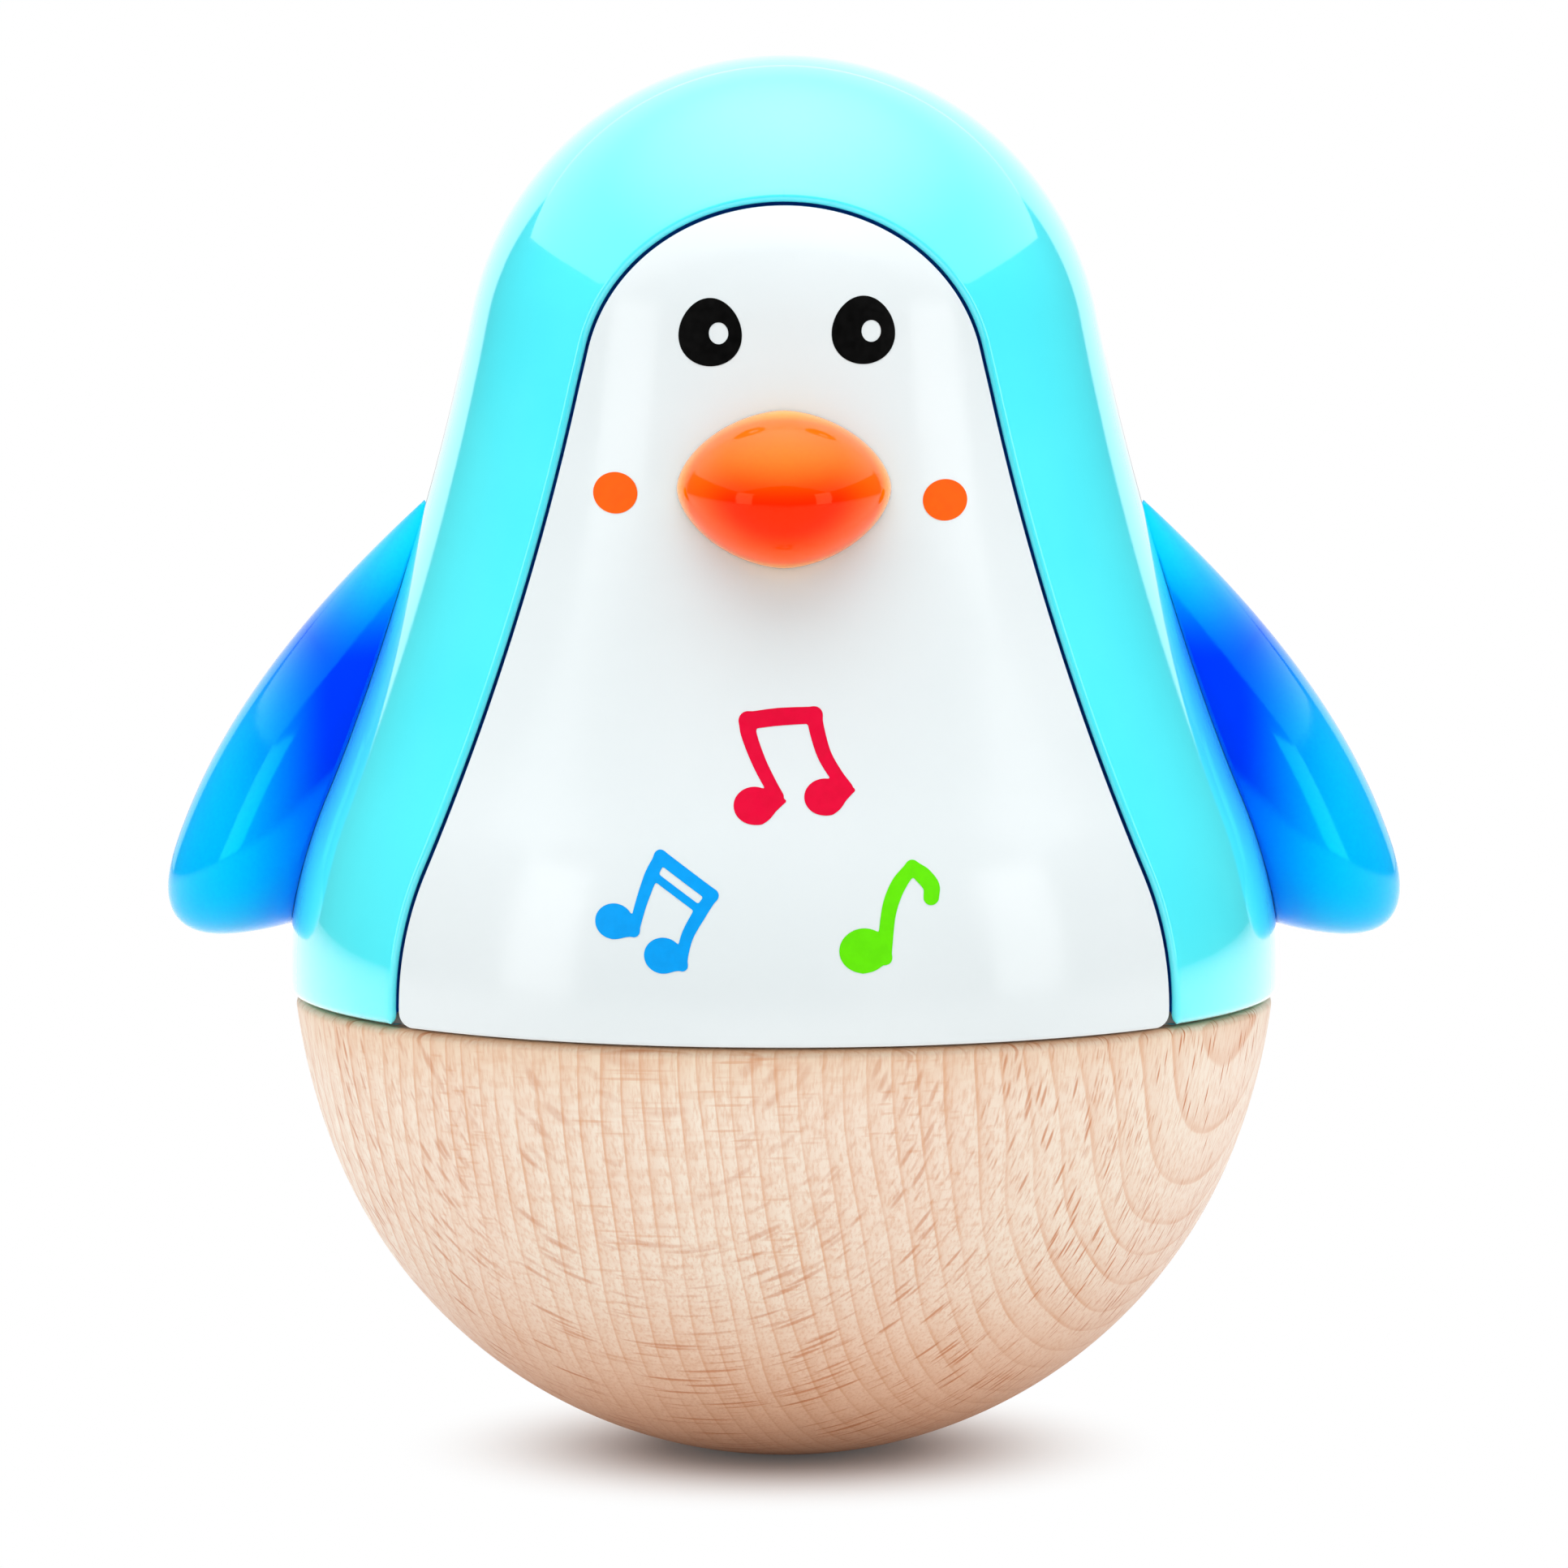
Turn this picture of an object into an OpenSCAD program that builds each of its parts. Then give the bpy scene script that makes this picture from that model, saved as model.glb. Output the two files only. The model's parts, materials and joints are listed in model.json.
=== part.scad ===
// Roly poly penguin with a chime: a weighted beech bowl carries a moulded hood, a white
// front panel, a beak and two wings. A clapper swings among eight steel rods inside.
// Millimetres, +Z up, the face looks along -Y, the origin is the middle of the bowl's foot.

/* [Body] */
// Height of the toy
body_h = 130; // [126:1:140]
// Radius of the round head
head_r = 29.5; // [28:0.5:31]
// How far the belly stands out past the bowl's ball
belly_over = 1.1; // [0.6:0.1:2]
// Height of the largest radius
belly_z = 44.9; // [44:0.1:47]
// Radius of the arc that rounds the belly in side view
belly_arc_r = 43; // [38:1:50]
// Radius of the hollow arc between head and belly
flank_arc_r = 240; // [180:10:500]
// Wall of the moulded hood
hood_wall = 2.4; // [2.2:0.1:2.8]
// Chamfer round the hood's lower edge
rim_chamfer = 0.6; // [0.3:0.1:1]

/* [Wooden base] */
// Radius of the ball that the base rolls on
bowl_r = 45; // [44.5:0.1:46]
// Radius of the arc that carries the bowl up to its rim
bowl_flare_r = 57; // [52:1:65]
// Radius of the small flat that the bowl stands on
foot_r = 4.5; // [3:0.5:6]
// Height of the bowl's flat top, where the hood starts
seam_z = 42.9; // [42:0.1:44]
// Rounding of the bowl's top edge
bowl_edge_r = 0.8; // [0.4:0.1:1.2]
// Radius of the pocket for the weight
pocket_r = 27; // [25:0.5:28]
// Height of the pocket's floor
pocket_floor_z = 10; // [9:0.5:13]
// Height and width of the cone that narrows the pocket's floor
pocket_cone = 8; // [5:0.5:9]

/* [Weight] */
// Height of the cast weight
weight_h = 16; // [12:0.5:20]
// Gap round the weight
weight_gap = 0.3; // [0.2:0.05:0.6]

/* [Front panel] */
// Width of the hood's band around the panel, seen from the front
band_w = 11.2; // [10:0.1:13]
// Thickness of the panel
panel_t = 2.2; // [1.8:0.1:2.3]
// Gap round the panel
panel_gap = 0.3; // [0.2:0.05:0.5]
// Rounding of the panel's lower corners
panel_corner_r = 2.2; // [1:0.1:4]
// Width of the ledge that the panel lies on
ledge_w = 2.6; // [2:0.1:4]
// Thickness of that ledge
ledge_t = 1.8; // [1.4:0.1:2.4]

/* [Beak] */
// Width of the beak
beak_w = 19.2; // [16:0.1:22]
// Height of the beak
beak_h = 13.9; // [12:0.1:17]
// How far the beak stands out of the panel
beak_depth = 9.5; // [7:0.1:11]
// How far the beak's middle lies below the head's centre
beak_drop = 8.8; // [6:0.1:11]
// Distance between the two posts of the beak
beak_post_pitch = 9; // [8:0.1:9.6]

/* [Wings] */
// Half width of a wing, along its lower edge
wing_half_w = 11.8; // [10:0.1:12.5]
// Angle by which that edge falls outwards
wing_edge_deg = 9.8; // [0:0.1:15]
// Depth of a wing from front to back
wing_depth = 20; // [16:0.1:22]
// How far the wings sit behind the middle
wing_back = 4; // [2:0.1:6]
// How far the foot of a wing's spine lies outside the belly
wing_foot_out = 3.2; // [2.5:0.1:6]
// Height of that foot above the belly's largest radius
wing_foot_rise = 3.4; // [2:0.1:5]
// Height of the wing's tip above its foot
wing_rise = 40.3; // [36:0.1:44]
// Distance between the two screws of a wing
wing_screw_pitch = 11; // [9:0.5:12]

/* [Chime] */
// Radius of a chime rod
rod_r = 1.5; // [1.2:0.05:1.8]
// Length of the shortest rod above its seat
rod_short = 20; // [18:0.5:24]
// Step in length from rod to rod
rod_step = 1; // [0.5:0.1:2]
// Radius of the clapper ball
ball_r = 6.5; // [5.5:0.1:7]
// Gap below the ball
ball_gap = 1; // [0.6:0.1:4]
// How far the ball swings from the middle along one axis
strike_reach = 6.2; // [5:0.1:6.5]
// Height of the bridge's top above the head's centre
bridge_rise = 8; // [2:0.5:9]
// Distance between the link's two pivots
link_len = 7; // [6.6:0.1:9]
// Radius of both pivot pins
pin_r = 1; // [0.8:0.05:1.2]

/* [Base plate] */
// Thickness of the plate that closes the base
plate_t = 3; // [2.5:0.1:4]
// Height of the ring that the hood snaps on, above the plate
ring_h = 8; // [7:0.5:9]
// Thickness of that ring
ring_t = 2; // [1.6:0.1:2.4]

/* [Hidden] */
$fn = 48;

// Steps along each arc of the body's outline
head_steps = 20;
flank_steps = 8;
belly_steps = 6;
corner_steps = 5;
bowl_steps = 20;

// Clearances: screws, rods and fixed pins; turning pins; faces that seat; parts that pass
fit_gap = 0.02;
run_gap = 0.05;
seat_gap = 0.1;
clear_gap = 0.3;
cut_over = 1;

// The arcs of the body's outline touch each other, so their centres follow from the radii
belly_r = bowl_r + belly_over;
head_c = [0, body_h - head_r];
belly_c = [belly_r - belly_arc_r, belly_z];
head_to_belly = belly_c - head_c;
centre_span = norm(head_to_belly);
down = head_to_belly / centre_span;
flank_along = ((flank_arc_r + head_r)^2 - (flank_arc_r + belly_arc_r)^2 + centre_span^2)
    / (2 * centre_span);
flank_aside = sqrt((flank_arc_r + head_r)^2 - flank_along^2);
flank_c = head_c + flank_along * down + flank_aside * [-down.y, down.x];
head_end_deg = atan2(flank_c.y - head_c.y, flank_c.x - head_c.x);
belly_start_deg = atan2(flank_c.y - belly_c.y, flank_c.x - belly_c.x);

// Heights
rim_z = seam_z + clear_gap;
plate_top = seam_z + plate_t;
ring_top = plate_top + ring_h;
ledge_z = plate_top + clear_gap;

// Screws: one for plastic and one for wood
screw_r = 1.25;
screw_head_r = 2.6;
screw_head_h = 1.8;
screw_hole_r = screw_r + clear_gap;
screw_pilot_r = screw_r + fit_gap;
wood_screw_r = 1.75;
wood_screw_head_r = 3.4;
wood_screw_head_h = 2.2;
wood_screw_len = 14;
wood_screw_hole_r = wood_screw_r + clear_gap;
wood_screw_pilot_r = wood_screw_r + fit_gap;
base_screw_count = 4;

// Fixings between hood and panel
half_share = 0.5;
ledge_root = 2;
tab_r = 4.8;
tab_t = 3;
boss_r = 2.4;
tab_inset = ledge_w + boss_r + clear_gap + clear_gap;
boss_screw_len = 6;
panel_screw_low = 14.8;
panel_screw_high = 1;
panel_screw_z = [rim_z + panel_screw_low, head_c.y + panel_screw_high];

// Fixings of beak and wings
beak_z = head_c.y - beak_drop;
beak_post_r = 2.2;
beak_pad_r = 4;
beak_pad_len = 2.4;
beak_screw_len = 8;
beak_steps = 8;
beak_sides = 40;
beak_power_share = 1.15;
beak_back_shares = [0.2, 0.4, 0.6, 0.8];
wing_boss_r = 4;
wing_boss_h = 3.2;
wing_boss_gap = 1.6;
wing_screw_low = ring_top + wing_boss_r + wing_boss_gap;
wing_screw_z = [wing_screw_low, wing_screw_low + wing_screw_pitch];
wing_screw_len = 11;
wing_foot_steps = 7;
wing_tip_steps = 12;
wing_sides = 28;
// The foot of a wing is blunt, its tip runs out in a long curve
wing_wide_share = 0.305;
wing_foot_share = 0.78;
wing_taper_share = 2.1;

// Snap lugs of the hood, in windows of the base plate's ring
lug_deg = 10;
lug_angles = [20, 70, 110, 160];
lug_z = plate_top + ring_h * half_share;
lug_h = 2.4;
lug_reach = 1.6;

// Chime: flange on the base plate, two posts, a bridge with two lugs, rods on a rounded square
flange_r = 25;
flange_t = 6;
flange_screw_r = 20;
flange_screw_len = 10;
flange_boss_r = 3.2;
flange_boss_h = 6;
flange_head_sink = 2.2;
rod_seat = 4.5;
post_x = 21;
post_t = 4.6;
post_w = 8;
bridge_t = 4.5;
bridge_drop = 4;
bridge_z = head_c.y + bridge_rise - bridge_t;
upper_pivot_z = bridge_z - bridge_drop;
lower_pivot_z = upper_pivot_z - link_len;
gusset = 7;
gusset_t = 2.4;
lug_plate_t = 2;
lug_plate_r = 3;
link_eye_r = 2.6;
link_eye_len = 6.6;
cheek_t = 1.8;
cheek_r = 2.4;
stem_r = 1.4;
stem_eye_r = 2.2;
stem_eye_len = 3.8;
stem_in_ball = 4;
rod_count = 8;
rod_side = strike_reach + ball_r + rod_r + clear_gap;
rod_corner = strike_reach * sqrt(2) + ball_r + rod_r + clear_gap;
flange_top = plate_top + flange_t;
ball_z = flange_top + ball_r + ball_gap;

// Helpers for lists and arcs
function tail(list) = [for (i = [1:len(list) - 1]) list[i]];
function reversed(list) = [for (i = [len(list) - 1:-1:0]) list[i]];
function arc(c, r, from, to, steps) =
    [for (i = [0:steps]) let (a = from + (to - from) * i / steps) c + r * [cos(a), sin(a)]];

// Outline of the body from its top down to a height, set in from the outside by inset
function body_path(inset, z_end) = concat(
    arc(head_c, head_r - inset, 90, head_end_deg, head_steps),
    tail(arc(flank_c, flank_arc_r + inset, head_end_deg + 180, belly_start_deg + 180, flank_steps)),
    tail(arc(belly_c, belly_arc_r - inset, belly_start_deg,
        asin((z_end - belly_c.y) / (belly_arc_r - inset)), belly_steps)));

// Radius of that outline at a height
function body_radius(z, inset = 0) =
    z > head_c.y + (head_r - inset) * sin(head_end_deg)
        ? sqrt((head_r - inset)^2 - (z - head_c.y)^2)
    : z > belly_c.y + (belly_arc_r - inset) * sin(belly_start_deg)
        ? flank_c.x - sqrt((flank_arc_r + inset)^2 - (z - flank_c.y)^2)
    : belly_c.x + sqrt((belly_arc_r - inset)^2 - (z - belly_c.y)^2);

// Front surface of the body at a place seen from the front
function skin_y(x, z, inset = 0) = -sqrt(body_radius(z, inset)^2 - x^2);

// Half outline of the opening, and of the panel with its rounded corner
function panel_path(inset, z_end) =
    let (side = body_path(inset, z_end + panel_corner_r), last = side[len(side) - 1])
    concat(side, tail(arc(last - [panel_corner_r, 0], panel_corner_r, 0, -90, corner_steps)));
function both_sides(path) = concat(path, [for (p = reversed(tail(path))) [-p.x, p.y]]);

module body_solid(inset, z_end)
    rotate_extrude() polygon(concat(body_path(inset, z_end), [[0, z_end]]));

module body_ring(outer, inner, z_end)
    rotate_extrude() polygon(concat(body_path(outer, z_end), reversed(body_path(inner, z_end))));

// The ring with a chamfered lower edge, which hood and panel share
module skin_ring(thickness)
    rotate_extrude() polygon(concat(body_path(0, rim_z + rim_chamfer),
        [[body_radius(rim_z) - rim_chamfer, rim_z]], reversed(body_path(thickness, rim_z))));

// A front outline carried through the front half
module front_prism(path)
    rotate([90, 0, 0]) linear_extrude(height = belly_r + cut_over) polygon(both_sides(path));

module along_y(x, y, z) translate([x, y, z]) rotate([-90, 0, 0]) children();
module along_x(x, y, z) translate([x, y, z]) rotate([0, 90, 0]) children();

// A loft through rings of points, closed by a first and a last point
module loft(first, rings, last) {
    n = len(rings[0]);
    end = len(rings) * n + 1;
    polyhedron(concat([first], [for (ring = rings) each ring], [last]), concat(
        [for (i = [0:n - 1]) [0, 1 + i, 1 + (i + 1) % n]],
        [for (k = [0:len(rings) - 2], i = [0:n - 1]) let (a = 1 + k * n, j = (i + 1) % n)
            each [[a + i, a + n + i, a + n + j], [a + i, a + n + j, a + j]]],
        [for (i = [0:n - 1]) [end, end - n + (i + 1) % n, end - n + i]]));
}

// A pan head screw along +Z, with its head above the seat
module pan_screw(r, len, head_r, head_h) {
    translate([0, 0, -len]) cylinder(r = r, h = len);
    rotate_extrude() polygon([[0, 0], [head_r, 0], [head_r, head_h * half_share],
        [head_r * half_share, head_h], [0, head_h]]);
}

module plastic_screw(len) pan_screw(screw_r, len, screw_head_r, screw_head_h);
module wood_screw(len) pan_screw(wood_screw_r, len, wood_screw_head_r, wood_screw_head_h);

// The bowl's outline: a small flat, a ball, and above it the flare that meets the ball smoothly
flare_deg = 22;
bowl_c = [0, sqrt(bowl_r^2 - foot_r^2)];
flare_c = bowl_c - (bowl_flare_r - bowl_r) * [cos(flare_deg), -sin(flare_deg)];
bowl_edge_z = seam_z - bowl_edge_r;
bowl_rim_r = flare_c.x + sqrt(bowl_flare_r^2 - (bowl_edge_z - flare_c.y)^2);
bowl_path = concat(
    [[0, 0]],
    arc(bowl_c, bowl_r, -acos(foot_r / bowl_r), -flare_deg, bowl_steps),
    tail(arc(flare_c, bowl_flare_r, -flare_deg, asin((bowl_edge_z - flare_c.y) / bowl_flare_r),
        corner_steps)),
    tail(arc([bowl_rim_r - bowl_edge_r, bowl_edge_z], bowl_edge_r, 0, 90, corner_steps)));
weight_bottom_r = pocket_r - pocket_cone;

module wood_base() color("burlywood") difference() {
    rotate_extrude() polygon(concat(bowl_path, [[0, seam_z]]));
    rotate_extrude() polygon([[0, pocket_floor_z], [weight_bottom_r, pocket_floor_z],
        [pocket_r, pocket_floor_z + pocket_cone], [pocket_r, seam_z + cut_over],
        [0, seam_z + cut_over]]);
    base_screw_places() translate([0, 0, plate_top - wood_screw_len])
        cylinder(r = wood_screw_pilot_r, h = wood_screw_len + cut_over);
    translate([0, 0, ballast_seat_z - wood_screw_len])
        cylinder(r = wood_screw_pilot_r, h = wood_screw_len);
}

// The screws stand just inside the plate's ring
ring_inset = hood_wall + clear_gap;
base_screw_ring_r = body_radius(plate_top, ring_inset + ring_t) - wood_screw_head_r - clear_gap;

module base_screw_places()
    for (i = [0:base_screw_count - 1])
        rotate([0, 0, (i + half_share) * 360 / base_screw_count])
            translate([base_screw_ring_r, 0, 0]) children();

// The weight stands on the pocket's floor, clear of its wall
ballast_sink = weight_h * half_share;
ballast_seat_z = pocket_floor_z + weight_h - ballast_sink;

module ballast_weight() color("dimgray") difference() {
    rotate_extrude() polygon([[0, pocket_floor_z], [weight_bottom_r - weight_gap, pocket_floor_z],
        [pocket_r - weight_gap, pocket_floor_z + pocket_cone],
        [pocket_r - weight_gap, pocket_floor_z + weight_h], [0, pocket_floor_z + weight_h]]);
    translate([0, 0, pocket_floor_z - cut_over])
        cylinder(r = wood_screw_hole_r, h = weight_h + cut_over);
    translate([0, 0, ballast_seat_z])
        cylinder(r = wood_screw_head_r + clear_gap, h = ballast_sink + cut_over);
}

module ballast_screw() color("silver")
    translate([0, 0, ballast_seat_z]) wood_screw(wood_screw_len);

// The plate closes the bowl. Its ring stands inside the hood, and stops short of the panel
module base_plate() color("whitesmoke") difference() {
    union() {
        translate([0, 0, seam_z]) cylinder(r = body_radius(rim_z, ring_inset), h = plate_t);
        difference() {
            rotate_extrude() polygon([
                [body_radius(plate_top, ring_inset + ring_t), seam_z + plate_t * half_share],
                [body_radius(plate_top, ring_inset), seam_z + plate_t * half_share],
                [body_radius(ring_top, ring_inset), ring_top],
                [body_radius(ring_top, ring_inset + ring_t), ring_top]]);
            front_prism(body_path(band_w - ledge_root - cut_over, plate_top));
        }
        flange_screw_places() translate([0, 0, seam_z - flange_boss_h])
            cylinder(r = flange_boss_r, h = flange_boss_h + plate_t * half_share);
    }
    base_screw_places() translate([0, 0, seam_z - cut_over])
        cylinder(r = wood_screw_hole_r, h = plate_t + cut_over + cut_over);
    flange_screw_places() translate([0, 0, seam_z - flange_boss_h - cut_over])
        cylinder(r = screw_pilot_r, h = flange_boss_h + plate_t + cut_over + cut_over);
    for (a = lug_angles) rotate([0, 0, a]) rotate([0, 0, -lug_window_deg / 2])
        rotate_extrude(angle = lug_window_deg) translate([body_radius(ring_top, ring_inset + ring_t)
            - cut_over, lug_z - lug_h * half_share - clear_gap])
            square([ring_t + lug_reach + cut_over + cut_over, lug_h + clear_gap + clear_gap]);
}

lug_window_deg = lug_deg + 2;

module base_plate_screws() color("silver")
    base_screw_places() translate([0, 0, plate_top]) wood_screw(wood_screw_len);

// Places of the panel's screws. A flat tab of the hood lies just behind the panel there
function tab_x(z) = body_radius(z, band_w) - tab_inset;
function tab_front(z) = max([for (a = [-90:15:90])
    skin_y(tab_x(z) + tab_r * cos(a), z + tab_r * sin(a), hood_wall)]);

module panel_screw_places()
    for (side = [-1, 1], z = panel_screw_z)
        translate([side * tab_x(z), tab_front(z), z]) rotate([-90, 0, 0]) children();

// Places of a wing's screws on the hood's inner bosses, with +Z out of the hood
function wing_seat_x(z) = body_radius(z, hood_wall) - wing_boss_h;
module wing_screw_places(side)
    for (z = wing_screw_z)
        translate([side * wing_seat_x(z), wing_back, z]) rotate([0, side * 90, 0]) children();

// The ledge behind the opening, as a frame seen from the front
module ledge_frame() rotate([90, 0, 0]) linear_extrude(height = belly_r + cut_over) difference() {
    polygon(both_sides(body_path(band_w - ledge_root, ledge_z)));
    polygon(both_sides(body_path(band_w + ledge_w, ledge_z - cut_over)));
}

module body_hood() color("paleturquoise") difference() {
    union() {
        difference() {
            skin_ring(hood_wall);
            front_prism(body_path(band_w, rim_z - cut_over));
        }
        intersection() {
            body_ring(hood_wall - seat_gap, hood_wall + ledge_t, rim_z);
            ledge_frame();
        }
        panel_screw_places() cylinder(r = tab_r, h = tab_t);
        intersection() {
            for (side = [-1, 1])
                wing_screw_places(side) cylinder(r = wing_boss_r, h = wing_boss_reach);
            body_solid(hood_wall * half_share, rim_z);
        }
        for (a = lug_angles) rotate([0, 0, a - lug_deg / 2]) rotate_extrude(angle = lug_deg)
            hood_lug();
    }
    panel_screw_places() translate([0, 0, -cut_over])
        cylinder(r = screw_hole_r, h = tab_t + cut_over + cut_over);
    for (side = [-1, 1]) wing_screw_places(side) translate([0, 0, -cut_over])
        cylinder(r = screw_hole_r, h = wing_boss_reach + cut_over);
}

// Bosses reach from their seats into the wall that carries them
boss_reach = tab_r + tab_r;
wing_boss_reach = wing_boss_h + hood_wall + hood_wall;

// Cross-section of a snap lug, rooted in the hood's wall
module hood_lug() {
    low = lug_z - lug_h * half_share;
    high = lug_z + lug_h * half_share;
    polygon([[body_radius(low, hood_wall * half_share), low],
        [body_radius(lug_z, hood_wall) - lug_reach, lug_z],
        [body_radius(high, hood_wall * half_share), high]]);
}

beak_post_x = beak_post_pitch / 2;
beak_pad_y = skin_y(beak_post_x, beak_z, panel_t) + beak_pad_len;
beak_pad_reach = beak_pad_len + panel_t;
beak_hole_reach = beak_pad_reach + beak_pad_r;

module beak_screw_places(y_shift = 0)
    for (side = [-1, 1])
        translate([side * beak_post_x, beak_pad_y + y_shift, beak_z]) rotate([-90, 0, 0]) children();

module front_panel() color("white") difference() {
    union() {
        intersection() {
            skin_ring(panel_t);
            front_prism(panel_path(band_w + panel_gap, rim_z));
        }
        intersection() {
            union() {
                panel_screw_places() translate([0, 0, -boss_reach - seat_gap])
                    cylinder(r = boss_r, h = boss_reach);
                beak_screw_places() translate([0, 0, -beak_pad_reach])
                    cylinder(r = beak_pad_r, h = beak_pad_reach);
            }
            body_solid(panel_t * half_share, rim_z);
        }
    }
    panel_screw_places() translate([0, 0, tab_t - boss_screw_len])
        cylinder(r = screw_pilot_r, h = boss_screw_len);
    beak_screw_places() translate([0, 0, -beak_hole_reach])
        cylinder(r = beak_post_r + clear_gap, h = beak_hole_reach + cut_over);
}

module front_panel_screws() color("silver")
    panel_screw_places() translate([0, 0, tab_t]) plastic_screw(boss_screw_len);

// A ring of the beak on the panel: share is its size, height how far it stands out
function signed_power(value, power) = sign(value) * abs(value)^power;
function beak_ring(share, height) = [for (i = [0:beak_sides - 1])
    let (u = 360 * i / beak_sides, x = beak_w / 2 * share * signed_power(cos(u), beak_power_share),
        z = beak_z + beak_h / 2 * share * signed_power(sin(u), beak_power_share))
    [x, skin_y(x, z) - seat_gap - height, z]];

module beak() color("orangered") difference() {
    union() {
        loft([0, skin_y(0, beak_z) - seat_gap, beak_z],
            concat([for (share = beak_back_shares) beak_ring(share, 0)],
                [for (k = [0:beak_steps - 1]) let (v = 90 * k / beak_steps)
                    beak_ring(cos(v)^beak_power_share, beak_depth * sin(v))]),
            [0, skin_y(0, beak_z) - seat_gap - beak_depth, beak_z]);
        beak_screw_places(-seat_gap) translate([0, 0, -beak_pad_reach - panel_t])
            cylinder(r = beak_post_r, h = beak_pad_reach + panel_t);
    }
    beak_screw_places() translate([0, 0, -beak_screw_len]) cylinder(r = screw_pilot_r, h = beak_screw_len);
}

module beak_screws() color("silver") beak_screw_places() plastic_screw(beak_screw_len);

// The spine of a wing, from its foot beside the seam to its tip on the flank
wing_foot = [belly_r + wing_foot_out, belly_z + wing_foot_rise];
wing_tip_z = wing_foot.y + wing_rise;
wing_tip = [body_radius(wing_tip_z) + clear_gap, wing_tip_z];
wing_len = norm(wing_tip - wing_foot);
wing_axis = (wing_tip - wing_foot) / wing_len;
wing_out = [cos(wing_edge_deg), -sin(wing_edge_deg)];
wing_wide = wing_len * wing_wide_share;

// A point of the wing, moved out to the hood where it would lie inside it
function on_hood(p) =
    let (r = norm([p.x, p.y]), least = body_radius(p.z) + seat_gap)
    r < least ? [p.x * least / r, p.y * least / r, p.z] : p;
function wing_ring(s, w) = [for (i = [0:wing_sides - 1])
    let (u = 360 * i / wing_sides, spine = wing_foot + s * wing_axis + w * cos(u) * wing_out)
    on_hood([spine.x, wing_back - wing_depth / 2 * w / wing_half_w * sin(u), spine.y])];

module wing_form() difference() {
    loft(on_hood([wing_foot.x, wing_back, wing_foot.y]), concat(
        [for (k = [1:wing_foot_steps]) let (t = 90 * k / wing_foot_steps)
            wing_ring(wing_wide * (1 - cos(t)^wing_foot_share), wing_half_w * sin(t)^wing_foot_share)],
        [for (k = [1:wing_tip_steps - 1]) let (t = k / wing_tip_steps)
            wing_ring(wing_wide + (wing_len - wing_wide) * t, wing_half_w * (1 - t^wing_taper_share))]),
        on_hood([wing_tip.x, wing_back, wing_tip.y]));
    wing_screw_places(1) cylinder(r = screw_pilot_r, h = wing_screw_len);
}

module right_wing() color("dodgerblue") wing_form();
module left_wing() color("dodgerblue") mirror([1, 0, 0]) wing_form();
module wing_screws(side) color("silver")
    wing_screw_places(side) mirror([0, 0, 1]) plastic_screw(wing_screw_len);
module left_wing_screws() wing_screws(-1);
module right_wing_screws() wing_screws(1);

module flange_screw_places()
    for (a = [90, 210, 330]) rotate([0, 0, a]) translate([flange_screw_r, 0, 0]) children();

// Rods stand on a rounded square, so that the ball stops just short of each of them
function rod_place(i) =
    let (a = 360 * i / rod_count, pitch = i % 2 == 0 ? rod_side : rod_corner) pitch * [cos(a), sin(a)];
function rod_len(i) = rod_short + i * rod_step;

module chime_frame() color("gainsboro") difference() {
    union() {
        translate([0, 0, plate_top]) cylinder(r = flange_r, h = flange_t);
        for (side = [-1, 1]) {
            translate([side * post_x - post_t / 2, -post_w / 2, plate_top])
                cube([post_t, post_w, bridge_z + bridge_t - plate_top]);
            translate([side * post_x, 0, bridge_z]) rotate([90, 0, 0])
                linear_extrude(height = gusset_t, center = true)
                polygon([[0, 0], [-side * (post_t / 2 + gusset), 0], [0, -post_t / 2 - gusset]]);
            along_x(side * lug_x - lug_plate_t / 2, 0, upper_pivot_z)
                cylinder(r = lug_plate_r, h = lug_plate_t);
            translate([side * lug_x - lug_plate_t / 2, -lug_plate_r, upper_pivot_z])
                cube([lug_plate_t, lug_plate_r + lug_plate_r, bridge_drop + bridge_t * half_share]);
        }
        translate([-post_x, -post_w / 2, bridge_z]) cube([post_x + post_x, post_w, bridge_t]);
    }
    for (i = [0:rod_count - 1]) translate([rod_place(i).x, rod_place(i).y, flange_top - rod_seat])
        cylinder(r = rod_r + fit_gap, h = rod_seat + cut_over);
    flange_screw_places() translate([0, 0, plate_top - cut_over])
        cylinder(r = screw_hole_r, h = flange_t + cut_over);
    flange_screw_places() translate([0, 0, flange_top - flange_head_sink])
        cylinder(r = screw_head_r + clear_gap, h = flange_head_sink + cut_over);
    along_x(-pin_half - cut_over, 0, upper_pivot_z)
        cylinder(r = pin_r + fit_gap, h = pin_half + pin_half + cut_over + cut_over);
}

lug_x = link_eye_len / 2 + clear_gap + lug_plate_t / 2;
pin_half = lug_x + lug_plate_t / 2;

module chime_frame_screws() color("silver") flange_screw_places()
    translate([0, 0, flange_top - flange_head_sink]) plastic_screw(flange_screw_len);

module chime_rod(i) color("lightsteelblue")
    translate([rod_place(i).x, rod_place(i).y, flange_top - rod_seat])
    cylinder(r = rod_r, h = rod_seat + rod_len(i));

module link_pin() color("silver")
    along_x(-pin_half, 0, upper_pivot_z) cylinder(r = pin_r, h = pin_half + pin_half);

// The link hangs on the upper pin and holds the lower pin between two cheeks
cheek_y = stem_eye_len / 2 + clear_gap;
cheek_out = cheek_y + cheek_t;
yoke_z = lower_pivot_z + stem_eye_r + clear_gap + clear_gap;
yoke_h = upper_pivot_z - link_eye_r * half_share - yoke_z;

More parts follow.
